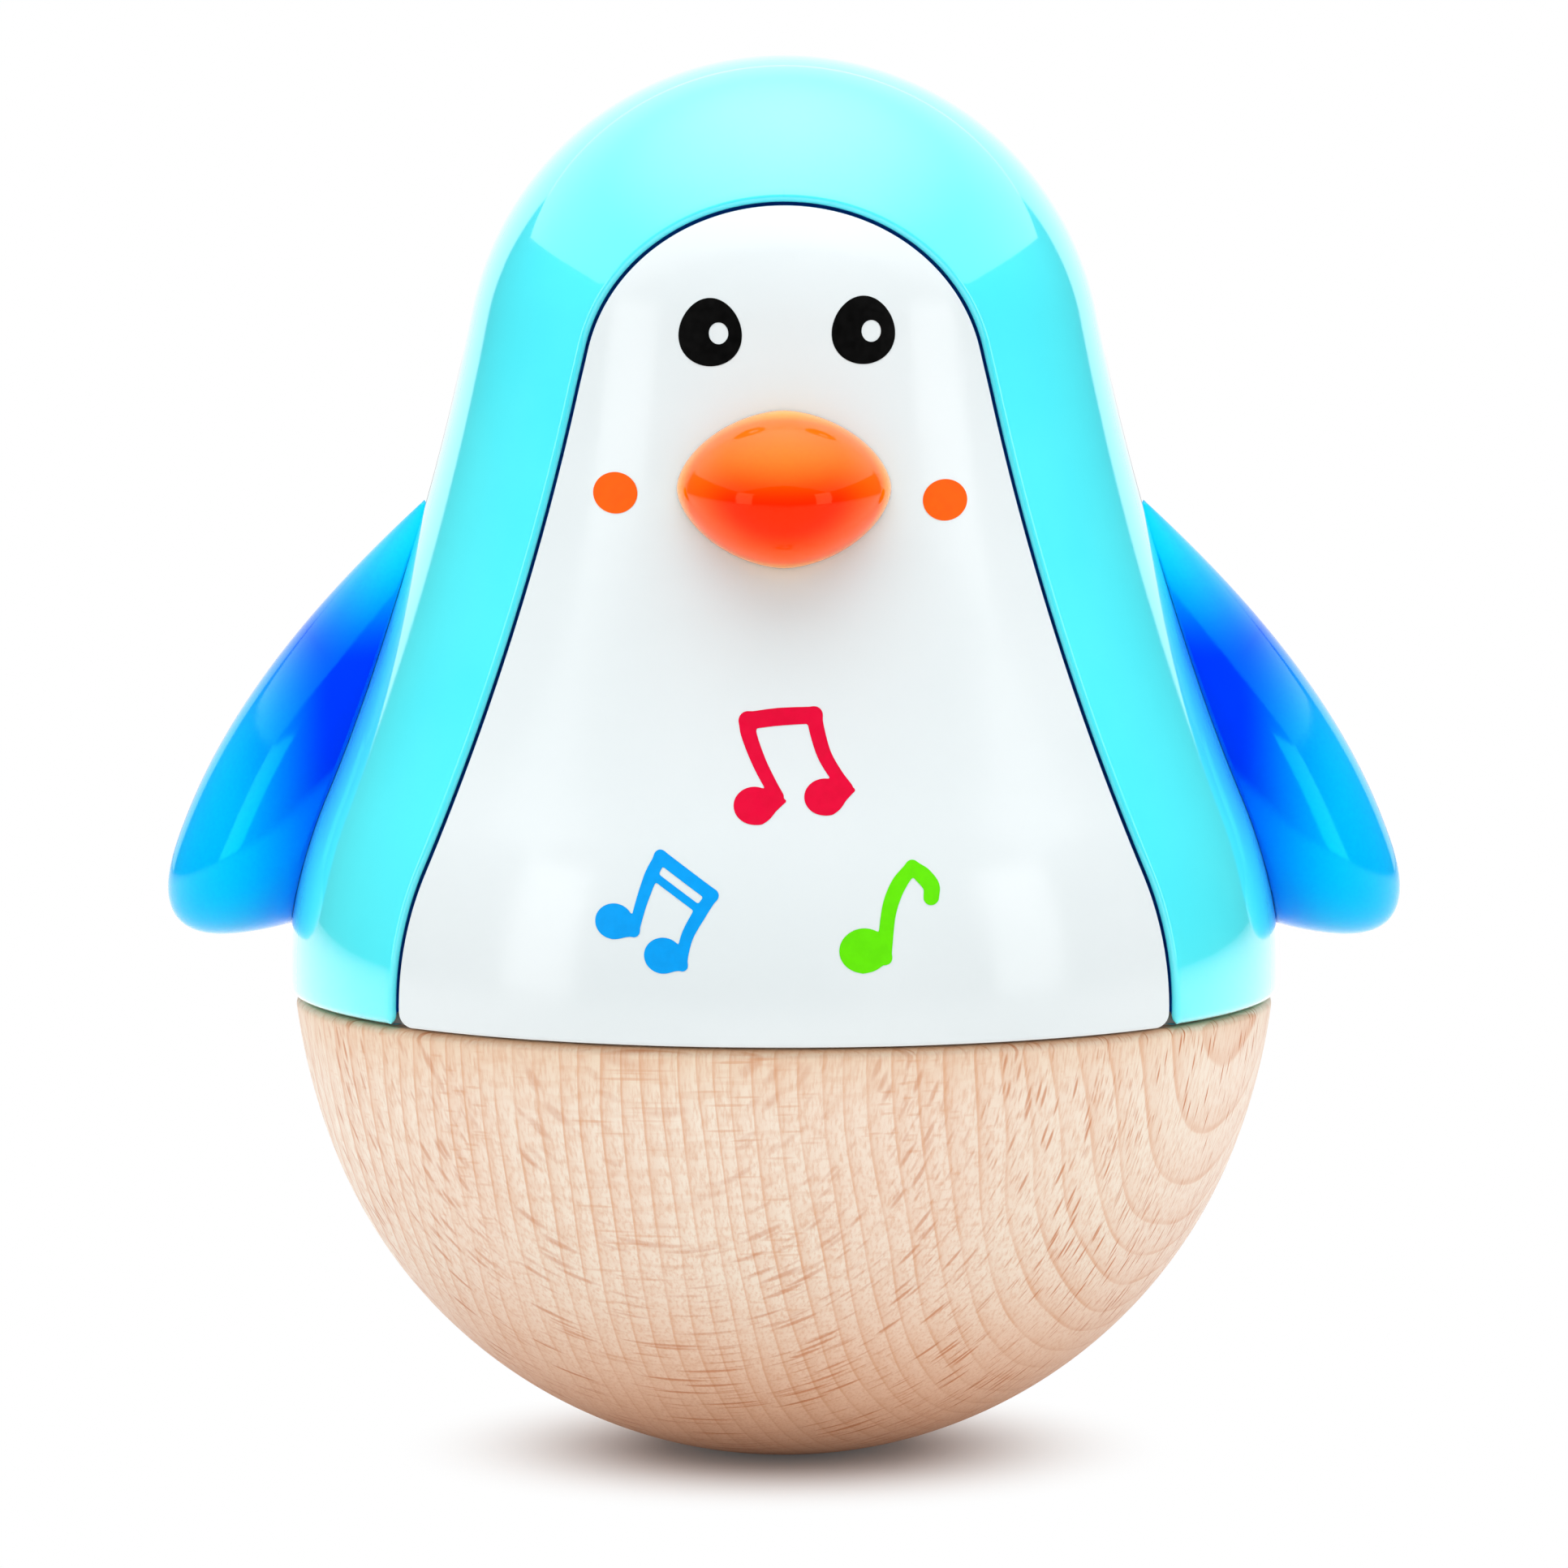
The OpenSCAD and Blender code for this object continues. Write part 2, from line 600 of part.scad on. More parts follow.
module clapper_link() color("gainsboro") difference() {
    union() {
        along_x(-link_eye_len / 2, 0, upper_pivot_z) cylinder(r = link_eye_r, h = link_eye_len);
        translate([-cheek_r, -cheek_out, yoke_z])
            cube([cheek_r + cheek_r, cheek_out + cheek_out, yoke_h]);
        for (y = [-cheek_out, cheek_y]) {
            along_y(0, y, lower_pivot_z) cylinder(r = cheek_r, h = cheek_t);
            translate([-cheek_r, y, lower_pivot_z])
                cube([cheek_r + cheek_r, cheek_t, yoke_z + cheek_t * half_share - lower_pivot_z]);
        }
    }
    along_x(-link_eye_len, 0, upper_pivot_z)
        cylinder(r = pin_r + run_gap, h = link_eye_len + link_eye_len);
    along_y(0, -cheek_out - cut_over, lower_pivot_z)
        cylinder(r = pin_r + fit_gap, h = cheek_out + cheek_out + cut_over + cut_over);
}

module clapper_pin() color("silver")
    along_y(0, -cheek_out, lower_pivot_z) cylinder(r = pin_r, h = cheek_out + cheek_out);

module clapper_stem() color("gainsboro") difference() {
    union() {
        along_y(0, -stem_eye_len / 2, lower_pivot_z) cylinder(r = stem_eye_r, h = stem_eye_len);
        translate([0, 0, ball_z + ball_r - stem_in_ball])
            cylinder(r = stem_r, h = lower_pivot_z - ball_z - ball_r + stem_in_ball);
    }
    along_y(0, -stem_eye_len, lower_pivot_z)
        cylinder(r = pin_r + run_gap, h = stem_eye_len + stem_eye_len);
}

module clapper_ball() color("burlywood") difference() {
    translate([0, 0, ball_z]) sphere(r = ball_r);
    translate([0, 0, ball_z + ball_r - stem_in_ball])
        cylinder(r = stem_r + fit_gap, h = stem_in_ball + cut_over);
}

wood_base();
ballast_weight();
ballast_screw();
base_plate();
base_plate_screws();
body_hood();
front_panel();
front_panel_screws();
beak();
beak_screws();
left_wing();
right_wing();
left_wing_screws();
right_wing_screws();
chime_frame();
chime_frame_screws();
chime_rod(0);  // chime_rod_1
chime_rod(1);  // chime_rod_2
chime_rod(2);  // chime_rod_3
chime_rod(3);  // chime_rod_4
chime_rod(4);  // chime_rod_5
chime_rod(5);  // chime_rod_6
chime_rod(6);  // chime_rod_7
chime_rod(7);  // chime_rod_8
link_pin();
clapper_link();
clapper_pin();
clapper_stem();
clapper_ball();
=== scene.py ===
"""Roly poly penguin: smooth shells, beech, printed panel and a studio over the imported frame."""
import json
import math

import bpy
import numpy as np
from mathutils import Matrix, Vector


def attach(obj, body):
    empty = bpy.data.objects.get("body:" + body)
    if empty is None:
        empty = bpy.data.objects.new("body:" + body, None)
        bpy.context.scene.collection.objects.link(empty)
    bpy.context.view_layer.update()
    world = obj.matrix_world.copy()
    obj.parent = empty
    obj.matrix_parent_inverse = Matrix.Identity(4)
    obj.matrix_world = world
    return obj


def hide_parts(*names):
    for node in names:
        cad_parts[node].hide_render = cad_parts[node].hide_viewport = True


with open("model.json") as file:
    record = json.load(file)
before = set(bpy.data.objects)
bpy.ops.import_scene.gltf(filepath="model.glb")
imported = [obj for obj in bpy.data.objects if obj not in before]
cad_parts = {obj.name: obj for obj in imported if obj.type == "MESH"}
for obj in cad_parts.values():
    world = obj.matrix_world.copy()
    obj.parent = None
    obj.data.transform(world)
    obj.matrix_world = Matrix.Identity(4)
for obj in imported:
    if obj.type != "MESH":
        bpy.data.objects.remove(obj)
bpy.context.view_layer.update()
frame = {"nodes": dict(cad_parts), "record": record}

# Sizes in millimetres, as in the part's source
MM = 0.001
BODY_H, HEAD_R, BELLY_R, BELLY_Z = 130.0, 29.5, 46.1, 44.9
BELLY_ARC_R, FLANK_ARC_R = 43.0, 240.0
BOWL_R, FLARE_R, FLARE_DEG, FOOT_R = 45.0, 57.0, 22.0, 4.5
SEAM_Z, RIM_Z, BOWL_EDGE_R = 42.9, 43.2, 0.8
BAND_W, PANEL_GAP, PANEL_T, LEDGE_W, SEAT_GAP = 11.2, 0.3, 2.2, 2.6, 0.1
BEAK_W, BEAK_H, BEAK_DEPTH, BEAK_Z, BEAK_POWER = 19.2, 13.9, 9.5, 91.7, 1.15
WING_HALF_W, WING_DEPTH, WING_BACK, WING_EDGE_DEG = 11.8, 20.0, 4.0, 9.8
WING_FOOT, WING_TIP_Z = np.array([49.3, 48.3]), 88.6
WING_WIDE, WING_FOOT_POWER, WING_TAPER = 0.305, 0.78, 2.1

# Where the shells follow the photo more closely than the solids do: how much the opening's arch is pressed
# down, the radius of its lower corners, and the gap under the wings
ARCH_FLAT, CORNER_R, WING_SEAT_GAP = 0.097, 1.3, 0.03

# Edge roundings that the solids leave sharp, and the room that the hood's lip takes on its band
LIP_R, LIP_ROOM, RIM_R, RIM_FLAT, PANEL_EDGE_R = 0.45, 1.2, 0.9, 0.8, 0.3

# The bowl's flat top, which ends under the hood: the width of its outer strip and its inner radius.
# FOOT_EASE keeps the last row of the flat foot off its edge.
BOWL_STRIP_W, BOWL_INNER_R, FOOT_EASE = 4.0, 30.0, 0.1

# Height of the printed inks, and how far they spread past their outlines
INK_T, INK_SPREAD = 0.03, 0.03

# Steps along the arcs of the outline and round the pieces, and the cells of the prints
HEAD_STEPS, FLANK_STEPS, BELLY_STEPS = 60, 48, 24
BAND_STEPS, LIP_STEPS, ROUND_STEPS, BACK_STEPS = 22, 8, 6, 96
CORNER_STEPS, PANEL_STEPS = 10, 60
BEAK_AROUND, BEAK_STEPS = 128, 48
WING_AROUND, WING_FOOT_STEPS, WING_TAPER_STEPS = 96, 32, 56
BOWL_AROUND, BOWL_STEPS, FLARE_STEPS, BOWL_EDGE_STEPS = 240, 90, 24, 8
CURVE_STEPS, CELL, FINE_CELL = 8, 0.14, 0.1
SMALL_STEP, TINY, WELD_DIGITS = 0.01, 1e-12, 4

# A place inside each shell, which its faces look away from
HOOD_INSIDE, PANEL_INSIDE, BEAK_INSIDE = (0, 0, 80), (0, 0, 75), (0, -30, BEAK_Z)
WING_INSIDE, BOWL_INSIDE = (48, WING_BACK, 60), (0, 0, 30)


# Outline of the body: three arcs that touch each other
HEAD_C = np.array([0.0, BODY_H - HEAD_R])
BELLY_C = np.array([BELLY_R - BELLY_ARC_R, BELLY_Z])


def flank_centre():
    span = BELLY_C - HEAD_C
    length = np.linalg.norm(span)
    down = span / length
    far, near = FLANK_ARC_R + HEAD_R, FLANK_ARC_R + BELLY_ARC_R
    along = (far ** 2 - near ** 2 + length ** 2) / (2 * length)
    return HEAD_C + along * down + math.sqrt(far ** 2 - along ** 2) * np.array([-down[1], down[0]])


FLANK_C = flank_centre()
HEAD_END = math.degrees(math.atan2(*(FLANK_C - HEAD_C)[::-1]))
BELLY_START = math.degrees(math.atan2(*(FLANK_C - BELLY_C)[::-1]))


def arc(centre, radius, start, end, steps):
    """Points of an arc, with its ends, as rows of two numbers."""
    a = np.radians(np.linspace(start, end, steps + 1))
    return np.column_stack([centre[0] + radius * np.cos(a), centre[1] + radius * np.sin(a)])


def body_path(inset, z_end):
    """Half outline of the body from its top down to z_end, set in by inset."""
    low = math.degrees(math.asin((z_end - BELLY_C[1]) / (BELLY_ARC_R - inset)))
    return np.vstack([
        arc(HEAD_C, HEAD_R - inset, 90, HEAD_END, HEAD_STEPS),
        arc(FLANK_C, FLANK_ARC_R + inset, HEAD_END + 180, BELLY_START + 180, FLANK_STEPS)[1:],
        arc(BELLY_C, BELLY_ARC_R - inset, BELLY_START, low, BELLY_STEPS)[1:]])


def opening_path(inset, z_end):
    """That outline with its top pressed down, the more the further it is set in: lines round the opening."""
    line = body_path(inset, z_end)
    above = np.maximum(line[:, 1] - HEAD_C[1], 0)
    line[:, 1] -= above * ARCH_FLAT * inset / BAND_W
    return line


def body_radius(z, inset=0.0):
    """Radius of that outline at heights z, and the two parts of its outward normal."""
    z = np.asarray(z, float)
    head, flank, belly = HEAD_R - inset, FLANK_ARC_R + inset, BELLY_ARC_R - inset
    on_head = z > HEAD_C[1] + head * math.sin(math.radians(HEAD_END))
    on_belly = z < BELLY_C[1] + belly * math.sin(math.radians(BELLY_START))
    r_head = np.sqrt(np.maximum(head ** 2 - (z - HEAD_C[1]) ** 2, 0))
    r_flank = FLANK_C[0] - np.sqrt(flank ** 2 - (z - FLANK_C[1]) ** 2)
    r_belly = BELLY_C[0] + np.sqrt(np.maximum(belly ** 2 - (z - BELLY_C[1]) ** 2, 0))
    r = np.where(on_head, r_head, np.where(on_belly, r_belly, r_flank))
    out = np.where(on_head, r_head / head,
                   np.where(on_belly, (r_belly - BELLY_C[0]) / belly, (FLANK_C[0] - r_flank) / flank))
    up = np.where(on_head, (z - HEAD_C[1]) / head,
                  np.where(on_belly, (z - BELLY_C[1]) / belly, (FLANK_C[1] - z) / flank))
    return r, out, up


def skin(x, z, inset=0.0):
    """Points and outward normals of the body's front at places seen from the front."""
    x, z = np.broadcast_arrays(np.asarray(x, float), np.asarray(z, float))
    r, out, up = body_radius(z, inset)
    y = -np.sqrt(np.maximum(r ** 2 - x ** 2, 0))
    safe = np.maximum(r, TINY)
    return np.stack([x, y, z], -1), np.stack([out * x / safe, out * y / safe, up], -1)


def unit(v):
    return v / np.maximum(np.linalg.norm(v, axis=-1, keepdims=True), TINY)


# Meshes
class Shell:
    """Collects grids of points, in millimetres, into one smooth mesh that looks away from a place inside."""

    def __init__(self, inside):
        self.inside = np.array(inside, float)
        self.points, self.faces, self.looks, self.count = [], [], [], 0

    def grid(self, points, closed=False, look=0):
        rows, cols = points.shape[:2]
        index = np.arange(rows * cols).reshape(rows, cols)
        right = np.roll(index, -1, 1) if closed else index[:, 1:]
        left = index if closed else index[:, :-1]
        quads = np.stack([left[:-1], left[1:], right[1:], right[:-1]], -1).reshape(-1, 4)
        flat = points.reshape(-1, 3)
        corners = flat[quads]
        normals = np.cross(corners[:, 2] - corners[:, 0], corners[:, 3] - corners[:, 1])
        if np.sum(normals * (corners.mean(1) - self.inside)) < 0:
            quads = quads[:, ::-1]
        self.points.append(flat)
        self.faces.append(quads + self.count)
        self.looks += [look] * len(quads)
        self.count += len(flat)

    def piece(self, name, materials, slot, replaces):
        make_piece(name, np.vstack(self.points), np.vstack(self.faces), materials, replaces,
                   self.looks)


def add_object(name, data):
    thing = bpy.data.objects.new(name, data)
    bpy.context.scene.collection.objects.link(thing)
    return thing


def make_piece(name, points, faces, materials, replaces=(), looks=None):
    """A smooth mesh object from points in millimetres, welded, that rides on the toy."""
    rounded = np.round(points, WELD_DIGITS)
    first, where = np.unique(rounded, axis=0, return_index=True, return_inverse=True)[1:]
    where = where.reshape(-1)
    polygons, kept = [], []
    for face, look in zip(faces, looks or [0] * len(faces)):
        loop = list(dict.fromkeys(where[list(face)].tolist()))
        if len(loop) > 2:
            polygons.append(loop)
            kept.append(look)
    mesh = bpy.data.meshes.new(name)
    mesh.from_pydata((points[first] * MM).tolist(), [], polygons)
    for material in materials:
        mesh.materials.append(material)
    mesh.polygons.foreach_set("use_smooth", [True] * len(polygons))
    mesh.polygons.foreach_set("material_index", kept)
    piece = add_object(name, mesh)
    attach(piece, "toy")
    if replaces:
        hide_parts(*replaces)


def mirrored(points):
    return points * np.array([-1.0, 1.0, 1.0])


def level_ways(turns):
    """Level directions at angles round Z."""
    return np.stack([np.cos(turns), np.sin(turns), np.zeros_like(turns)], -1)


def turned_about_z(path, ways):
    """A half outline turned about Z: a row of points for each of its points."""
    points = path[:, None, :1] * ways
    points[..., 2] = path[:, 1:2]
    return points


# Materials
class Nodes:
    """Short calls for the nodes of one material, light or world."""

    def __init__(self, tree):
        self.tree = tree

    def feed(self, socket, value):
        """Links an output to a socket, or sets a plain value on it."""
        if isinstance(value, bpy.types.NodeSocket):
            self.tree.links.new(value, socket)
        else:
            socket.default_value = value

    def add(self, kind, inputs=None, **settings):
        node = self.tree.nodes.new(kind)
        for key, value in settings.items():
            setattr(node, key, value)
        for key, value in (inputs or {}).items():
            self.feed(node.inputs[key], value)
        return node

    def math(self, operation, a, b=0.0):
        return self.add("ShaderNodeMath", {0: a, 1: b}, operation=operation).outputs[0]

    def ramp(self, value, low, high, to_low=0.0, to_high=1.0):
        return self.add("ShaderNodeMapRange", {0: value, 1: low, 2: high, 3: to_low, 4: to_high},
                        interpolation_type="SMOOTHSTEP").outputs[0]

    def mix(self, factor, a, b):
        return self.add("ShaderNodeMix", {0: factor, 6: a, 7: b}, data_type="RGBA").outputs[2]

    def noise(self, vector, scale, detail=2.0, roughness=0.5):
        return self.add("ShaderNodeTexNoise", {"Vector": vector, "Scale": scale, "Detail": detail,
                                               "Roughness": roughness}).outputs["Fac"]

    def coords(self, kind="Object"):
        return self.add("ShaderNodeTexCoord").outputs[kind]

    def split(self, vector):
        return self.add("ShaderNodeSeparateXYZ", {0: vector}).outputs

    def bump(self, height, strength, distance):
        return self.add("ShaderNodeBump", {"Height": height, "Strength": strength,
                                           "Distance": distance}).outputs["Normal"]


def clear_nodes(owner):
    """Calls for the nodes of a material, light or world, which are emptied first."""
    owner.use_nodes = True
    owner.node_tree.nodes.clear()
    return Nodes(owner.node_tree)


def new_material(name):
    material = bpy.data.materials.new(name)
    nodes = clear_nodes(material)
    shader = nodes.add("ShaderNodeBsdfPrincipled")
    output = nodes.add("ShaderNodeOutputMaterial", {"Surface": shader.outputs[0]})
    output.is_active_output = True
    return material, nodes, shader


def wire(nodes, shader, **inputs):
    """Sets or links the shader's sockets; underscores stand for spaces."""
    for key, value in inputs.items():
        nodes.feed(shader.inputs[key.replace("_", " ")], value)


def colour(r, g, b):
    return (r, g, b, 1.0)


def gloss_plastic(name, pale, deep, roughness=0.07, peel=0.02, coat=1.0, ior=1.5, tint=(1, 1, 1), fade=None,
                  rim=None):
    """Polished moulding: slow drift between two tones, faint orange peel, gloss that varies a little.

    fade lists axes, each with two places on it in millimetres from the middle, between which the tone goes
    from deep to pale instead: painted shade and painted light, deep where shade falls and pale where light
    falls.
    rim paints the tone paler towards the edge of an oval seen from the front, with a painted rim highlight on
    that edge: the highlight's tone, the oval's height and its two half sizes in millimetres."""
    material, n, shader = new_material(name)
    where = n.coords()
    drift = n.ramp(n.noise(where, scale=45.0, detail=3.0), 0.35, 0.65)
    # Painted shade and painted light: along the given axes the tone goes from deep to pale, in place of the
    # slow drift
    if fade:
        parts = n.split(where)
        waver, drift = n.math("MULTIPLY", drift, 0.4 * MM), 0.0
        for axis, low, high in fade:
            off = n.math("ADD", n.math("ABSOLUTE", parts[axis]), waver)
            drift = n.math("MAXIMUM", drift, n.ramp(off, low * MM, high * MM))
    speck = n.ramp(n.noise(where, scale=2600.0, detail=1.0), 0.30, 0.70)
    tone = n.mix(drift, colour(*deep), colour(*pale))
    tone = n.mix(n.math("MULTIPLY", speck, 0.05), tone, colour(*deep))
    # Painted rim highlight: the tone goes paler towards the oval's edge and takes a yellower tone on the edge
    # itself
    if rim:
        painted_rim_shading, rim_z, half_w, half_h = rim
        oval = n.add("ShaderNodeMapping", {"Vector": where, "Location": (0, 0, -rim_z / half_h),
                                           "Scale": (1 / (half_w * MM), 0, 1 / (half_h * MM))}).outputs[0]
        off = n.add("ShaderNodeVectorMath", {0: oval}, operation="LENGTH").outputs["Value"]
        tone = n.mix(n.ramp(off, 0.45, 0.95, 0.0, 0.7), tone, colour(*pale))
        tone = n.mix(n.ramp(off, 0.88, 1.0), tone, colour(*painted_rim_shading))
    haze = n.ramp(n.noise(where, scale=160.0, detail=4.0, roughness=0.6), 0.3, 0.75,
                  roughness, roughness + 0.05)
    dimples = n.bump(n.noise(where, scale=620.0), strength=peel, distance=0.4 * MM)
    wire(n, shader, Base_Color=tone, Roughness=haze, IOR=ior, Specular_Tint=colour(*tint), Normal=dimples,
         Coat_Weight=coat, Coat_Roughness=0.03, Coat_IOR=1.6)
    return material


def printed_ink(name, body, edge):
    """Screen printed ink: thin mottling and a duller gloss than the plastic under it."""
    material, n, shader = new_material(name)
    where = n.coords()
    mottle = n.ramp(n.noise(where, scale=900.0, detail=3.0, roughness=0.6), 0.35, 0.7)
    dull = n.ramp(n.noise(where, scale=1500.0), 0.3, 0.7, 0.30, 0.42)
    wire(n, shader, Base_Color=n.mix(mottle, colour(*body), colour(*edge)), Roughness=dull, IOR=1.2,
         Normal=n.bump(n.noise(where, scale=3000.0), strength=0.05, distance=0.2 * MM))
    return material


def matte_plastic(name, pale, deep):
    material, n, shader = new_material(name)
    where = n.coords()
    drift = n.ramp(n.noise(where, scale=120.0, detail=3.0), 0.3, 0.7)
    wire(n, shader, Base_Color=n.mix(drift, colour(*deep), colour(*pale)),
         Roughness=n.ramp(n.noise(where, scale=700.0, detail=3.0), 0.3, 0.7, 0.42, 0.58),
         Normal=n.bump(n.noise(where, scale=2500.0), strength=0.12, distance=0.3 * MM))
    return material


def metal(name, pale, deep, roughness, depth_mm, stretch=1.0):
    """Bare metal with marks of a depth, drawn out along Z by stretch, and a roughness between two values."""
    material, n, shader = new_material(name)
    where = n.add("ShaderNodeMapping", {"Vector": n.coords(), "Scale": (1.0, 1.0, stretch)}).outputs[0]
    marks = n.noise(where, scale=1800.0, detail=3.0, roughness=0.6)
    wire(n, shader, Base_Color=n.mix(n.ramp(marks, 0.3, 0.7), colour(*deep), colour(*pale)), Metallic=1.0,
         Roughness=n.ramp(marks, 0.3, 0.7, *roughness),
         Normal=n.bump(marks, strength=0.2, distance=depth_mm * MM))
    return material


def beech(name, pith, lean_deg, ring_mm, pale, pink, ring_tone, ray_tone, end_tone, rim=None):
    """Beech cut from a log that leans in the XZ plane: growth rings round its pith, and rays out from it.

    pith is a point of the log's middle in millimetres. Rays show as dashes on faces that look along them,
    as faint flakes and lines on faces across them, and as fine lines on the end grain. rim is a painted
    shade:
    a darker, warmer tone towards a turned edge that stands for the shade under a part above it, and the
    heights between which it comes in."""
    material, n, shader = new_material(name)

    def leant(vector):
        return n.add("ShaderNodeVectorRotate", {"Vector": vector, "Angle": math.radians(lean_deg),
                                                "Axis": (0, 1, 0)}, rotation_type="AXIS_ANGLE").outputs[0]

    def times(a, b):
        return n.math("MULTIPLY", a, b)

    log = leant(n.coords())
    x, y, z = n.split(log)
    face_x, face_y, face_z = n.split(leant(n.coords("Normal")))
    sway = times(n.math("SUBTRACT", n.noise(log, scale=22.0), 0.5), 5.0 * MM)
    from_x = n.math("ADD", n.math("SUBTRACT", x, pith[0] * MM), sway)
    from_y = n.math("SUBTRACT", y, pith[1] * MM)
    radius = n.math("SQRT", n.math("ADD", times(from_x, from_x), times(from_y, from_y)))
    turn = times(n.math("ARCTAN2", from_y, from_x), abs(pith[0]) * MM)
    across = n.math("DIVIDE", n.math("SUBTRACT", times(face_y, from_x), times(face_x, from_y)), radius)
    quarter_sawn = times(across, across)
    flat_sawn = n.math("SUBTRACT", 1.0, times(quarter_sawn, 0.75))
    end_grain = n.ramp(n.math("ABSOLUTE", face_z), 0.45, 0.95)

    def grain(along, around, up):
        """Place in the log, in steps of so many millimetres along a ray, round the pith and up the trunk."""
        parts = {0: n.math("DIVIDE", radius, along * MM), 1: n.math("DIVIDE", turn, around * MM),
                 2: n.math("DIVIDE", z, up * MM)}
        return n.add("ShaderNodeCombineXYZ", parts).outputs[0]

    def rays(along, around, up, size, least):
        """Long cells of that grain, of a size in its steps. Those whose random value is over least show."""
        cell = n.add("ShaderNodeTexVoronoi", {"Vector": grain(along, around, up), "Scale": 1.0})
        shade = n.ramp(cell.outputs["Distance"], size, size * 0.4)
        pick = n.add("ShaderNodeSeparateColor", {0: cell.outputs["Color"]}).outputs[0]
        return times(shade, n.ramp(pick, least, least + 0.4))

    wander = times(n.noise(grain(along=9.0, around=40.0, up=60.0), scale=1.0), 1.8)
    phase = n.math("FRACT", n.math("ADD", n.math("DIVIDE", radius, ring_mm * MM), wander))
    late_wood = times(n.ramp(phase, 0.15, 0.92), n.ramp(phase, 1.0, 0.94))
    ring_line = times(n.ramp(phase, 0.80, 0.93), n.ramp(phase, 1.0, 0.95))
    wide_rays = times(rays(along=11.0, around=0.46, up=3.6, size=0.40, least=0.28), flat_sawn)
    fine_rays = times(rays(along=7.0, around=0.30, up=2.2, size=0.38, least=0.25), flat_sawn)
    flake_noise = n.noise(grain(along=5.0, around=0.9, up=0.75), scale=1.0, detail=1.0)
    flakes = times(n.ramp(flake_noise, 0.48, 0.66), quarter_sawn)
    ray_lines = times(rays(along=14.0, around=1.2, up=0.50, size=0.36, least=0.35), quarter_sawn)
    fibre = n.noise(grain(along=0.30, around=0.26, up=5.0), scale=1.0, detail=3.0, roughness=0.6)
    strong = n.ramp(n.noise(grain(along=14.0, around=9.0, up=22.0), scale=1.0), 0.3, 0.7, 0.45, 1.25)
    cloud = n.ramp(n.noise(grain(along=16.0, around=16.0, up=50.0), scale=1.0), 0.3, 0.7)

    tone = n.mix(cloud, colour(*pale), colour(*pink))
    tone = n.mix(times(end_grain, 0.75), tone, colour(*end_tone))
    # Painted shade: a darker, warmer tone towards the top edge
    if rim:
        painted_rim_shading, rim_low, rim_high = rim
        tone = n.mix(n.ramp(z, rim_low * MM, rim_high * MM, 0.0, 0.5), tone, colour(*painted_rim_shading))
    marks = ((times(late_wood, strong), 0.27, ring_tone), (times(ring_line, strong), 0.47, ring_tone),
             (flakes, 0.20, ring_tone), (ray_lines, 0.50, ring_tone),
             (n.ramp(fibre, 0.42, 0.72), 0.46, ring_tone),
             (fine_rays, 0.60, ray_tone), (wide_rays, 1.0, ray_tone))
    for mark, share, mark_tone in marks:
        tone = n.mix(times(mark, share), tone, colour(*mark_tone))
    grooves = n.math("ADD", times(wide_rays, -0.6), times(fibre, 0.5))
    wire(n, shader, Base_Color=tone, Roughness=n.ramp(fibre, 0.3, 0.8, 0.34, 0.48), IOR=1.45,
         Normal=n.bump(grooves, strength=0.2, distance=0.2 * MM))
    return material


# Tones of each finish, as linear colours
HOOD = gloss_plastic("hood_gloss", pale=(0.085, 0.86, 0.95), deep=(0.070, 0.83, 0.94))
# Painted shade: a deeper blue copy of the hood plastic for the walls and ledge in the gap round the panel
REBATE_SHADE = gloss_plastic("hood_rebate_shade", pale=(0.000, 0.220, 1.00), deep=(0.000, 0.180, 0.95), roughness=0.25,
                       coat=0.0)
PANEL = gloss_plastic("panel_gloss", pale=(0.712, 0.772, 0.788), deep=(0.694, 0.757, 0.773), roughness=0.13,
                      peel=0.015, coat=0.0)
# Painted light on the beak: its top painted paler orange than its lower part, its tone paler towards its
# edge, and a painted yellow rim highlight on that edge
BEAK = gloss_plastic("beak_gloss", pale=(1.0, 0.150, 0.000), deep=(1.0, 0.016, 0.000), roughness=0.045,
                     coat=0.0, ior=1.48, tint=(1.0, 0.45, 0.16), fade=[("Z", 90.8, 96.0)],
                     rim=((1.0, 0.36, 0.0), BEAK_Z, BEAK_W / 2, BEAK_H / 2))
# Painted shade and light on the wings: deep blue towards the hood, where its shade falls, and paler outward
# and towards the top
WING = gloss_plastic("wing_gloss", pale=(0.0, 0.49, 0.97), deep=(0.0, 0.030, 0.97), roughness=0.08,
                     coat=0.0, ior=1.9, tint=(0.0, 0.95, 1.0), fade=[("X", 42.0, 53.0), ("Z", 74.0, 86.0)])
# Painted shade on the bowl: a darker, warmer tone towards its top edge, under the hood
WOOD = beech("beech", pith=(200.0, -95.0), lean_deg=1.5, ring_mm=1.9, pale=(0.84, 0.745, 0.625),
             pink=(0.83, 0.70, 0.58), ring_tone=(0.66, 0.34, 0.18), ray_tone=(0.54, 0.18, 0.055),
             end_tone=(0.82, 0.43, 0.24), rim=((0.72, 0.48, 0.27), 36.0, 45.0))
BEAD = beech("bead_beech", pith=(-30.0, 5.0), lean_deg=8.0, ring_mm=1.6, pale=(0.72, 0.50, 0.31),
             pink=(0.70, 0.46, 0.29), ring_tone=(0.55, 0.32, 0.18), ray_tone=(0.40, 0.20, 0.10),
             end_tone=(0.62, 0.38, 0.22))
INNER = matte_plastic("inner_matte", pale=(0.80, 0.80, 0.78), deep=(0.74, 0.74, 0.72))
CAST = metal("cast_weight", pale=(0.20, 0.20, 0.21), deep=(0.12, 0.12, 0.13), roughness=(0.55, 0.75),
             depth_mm=0.6)
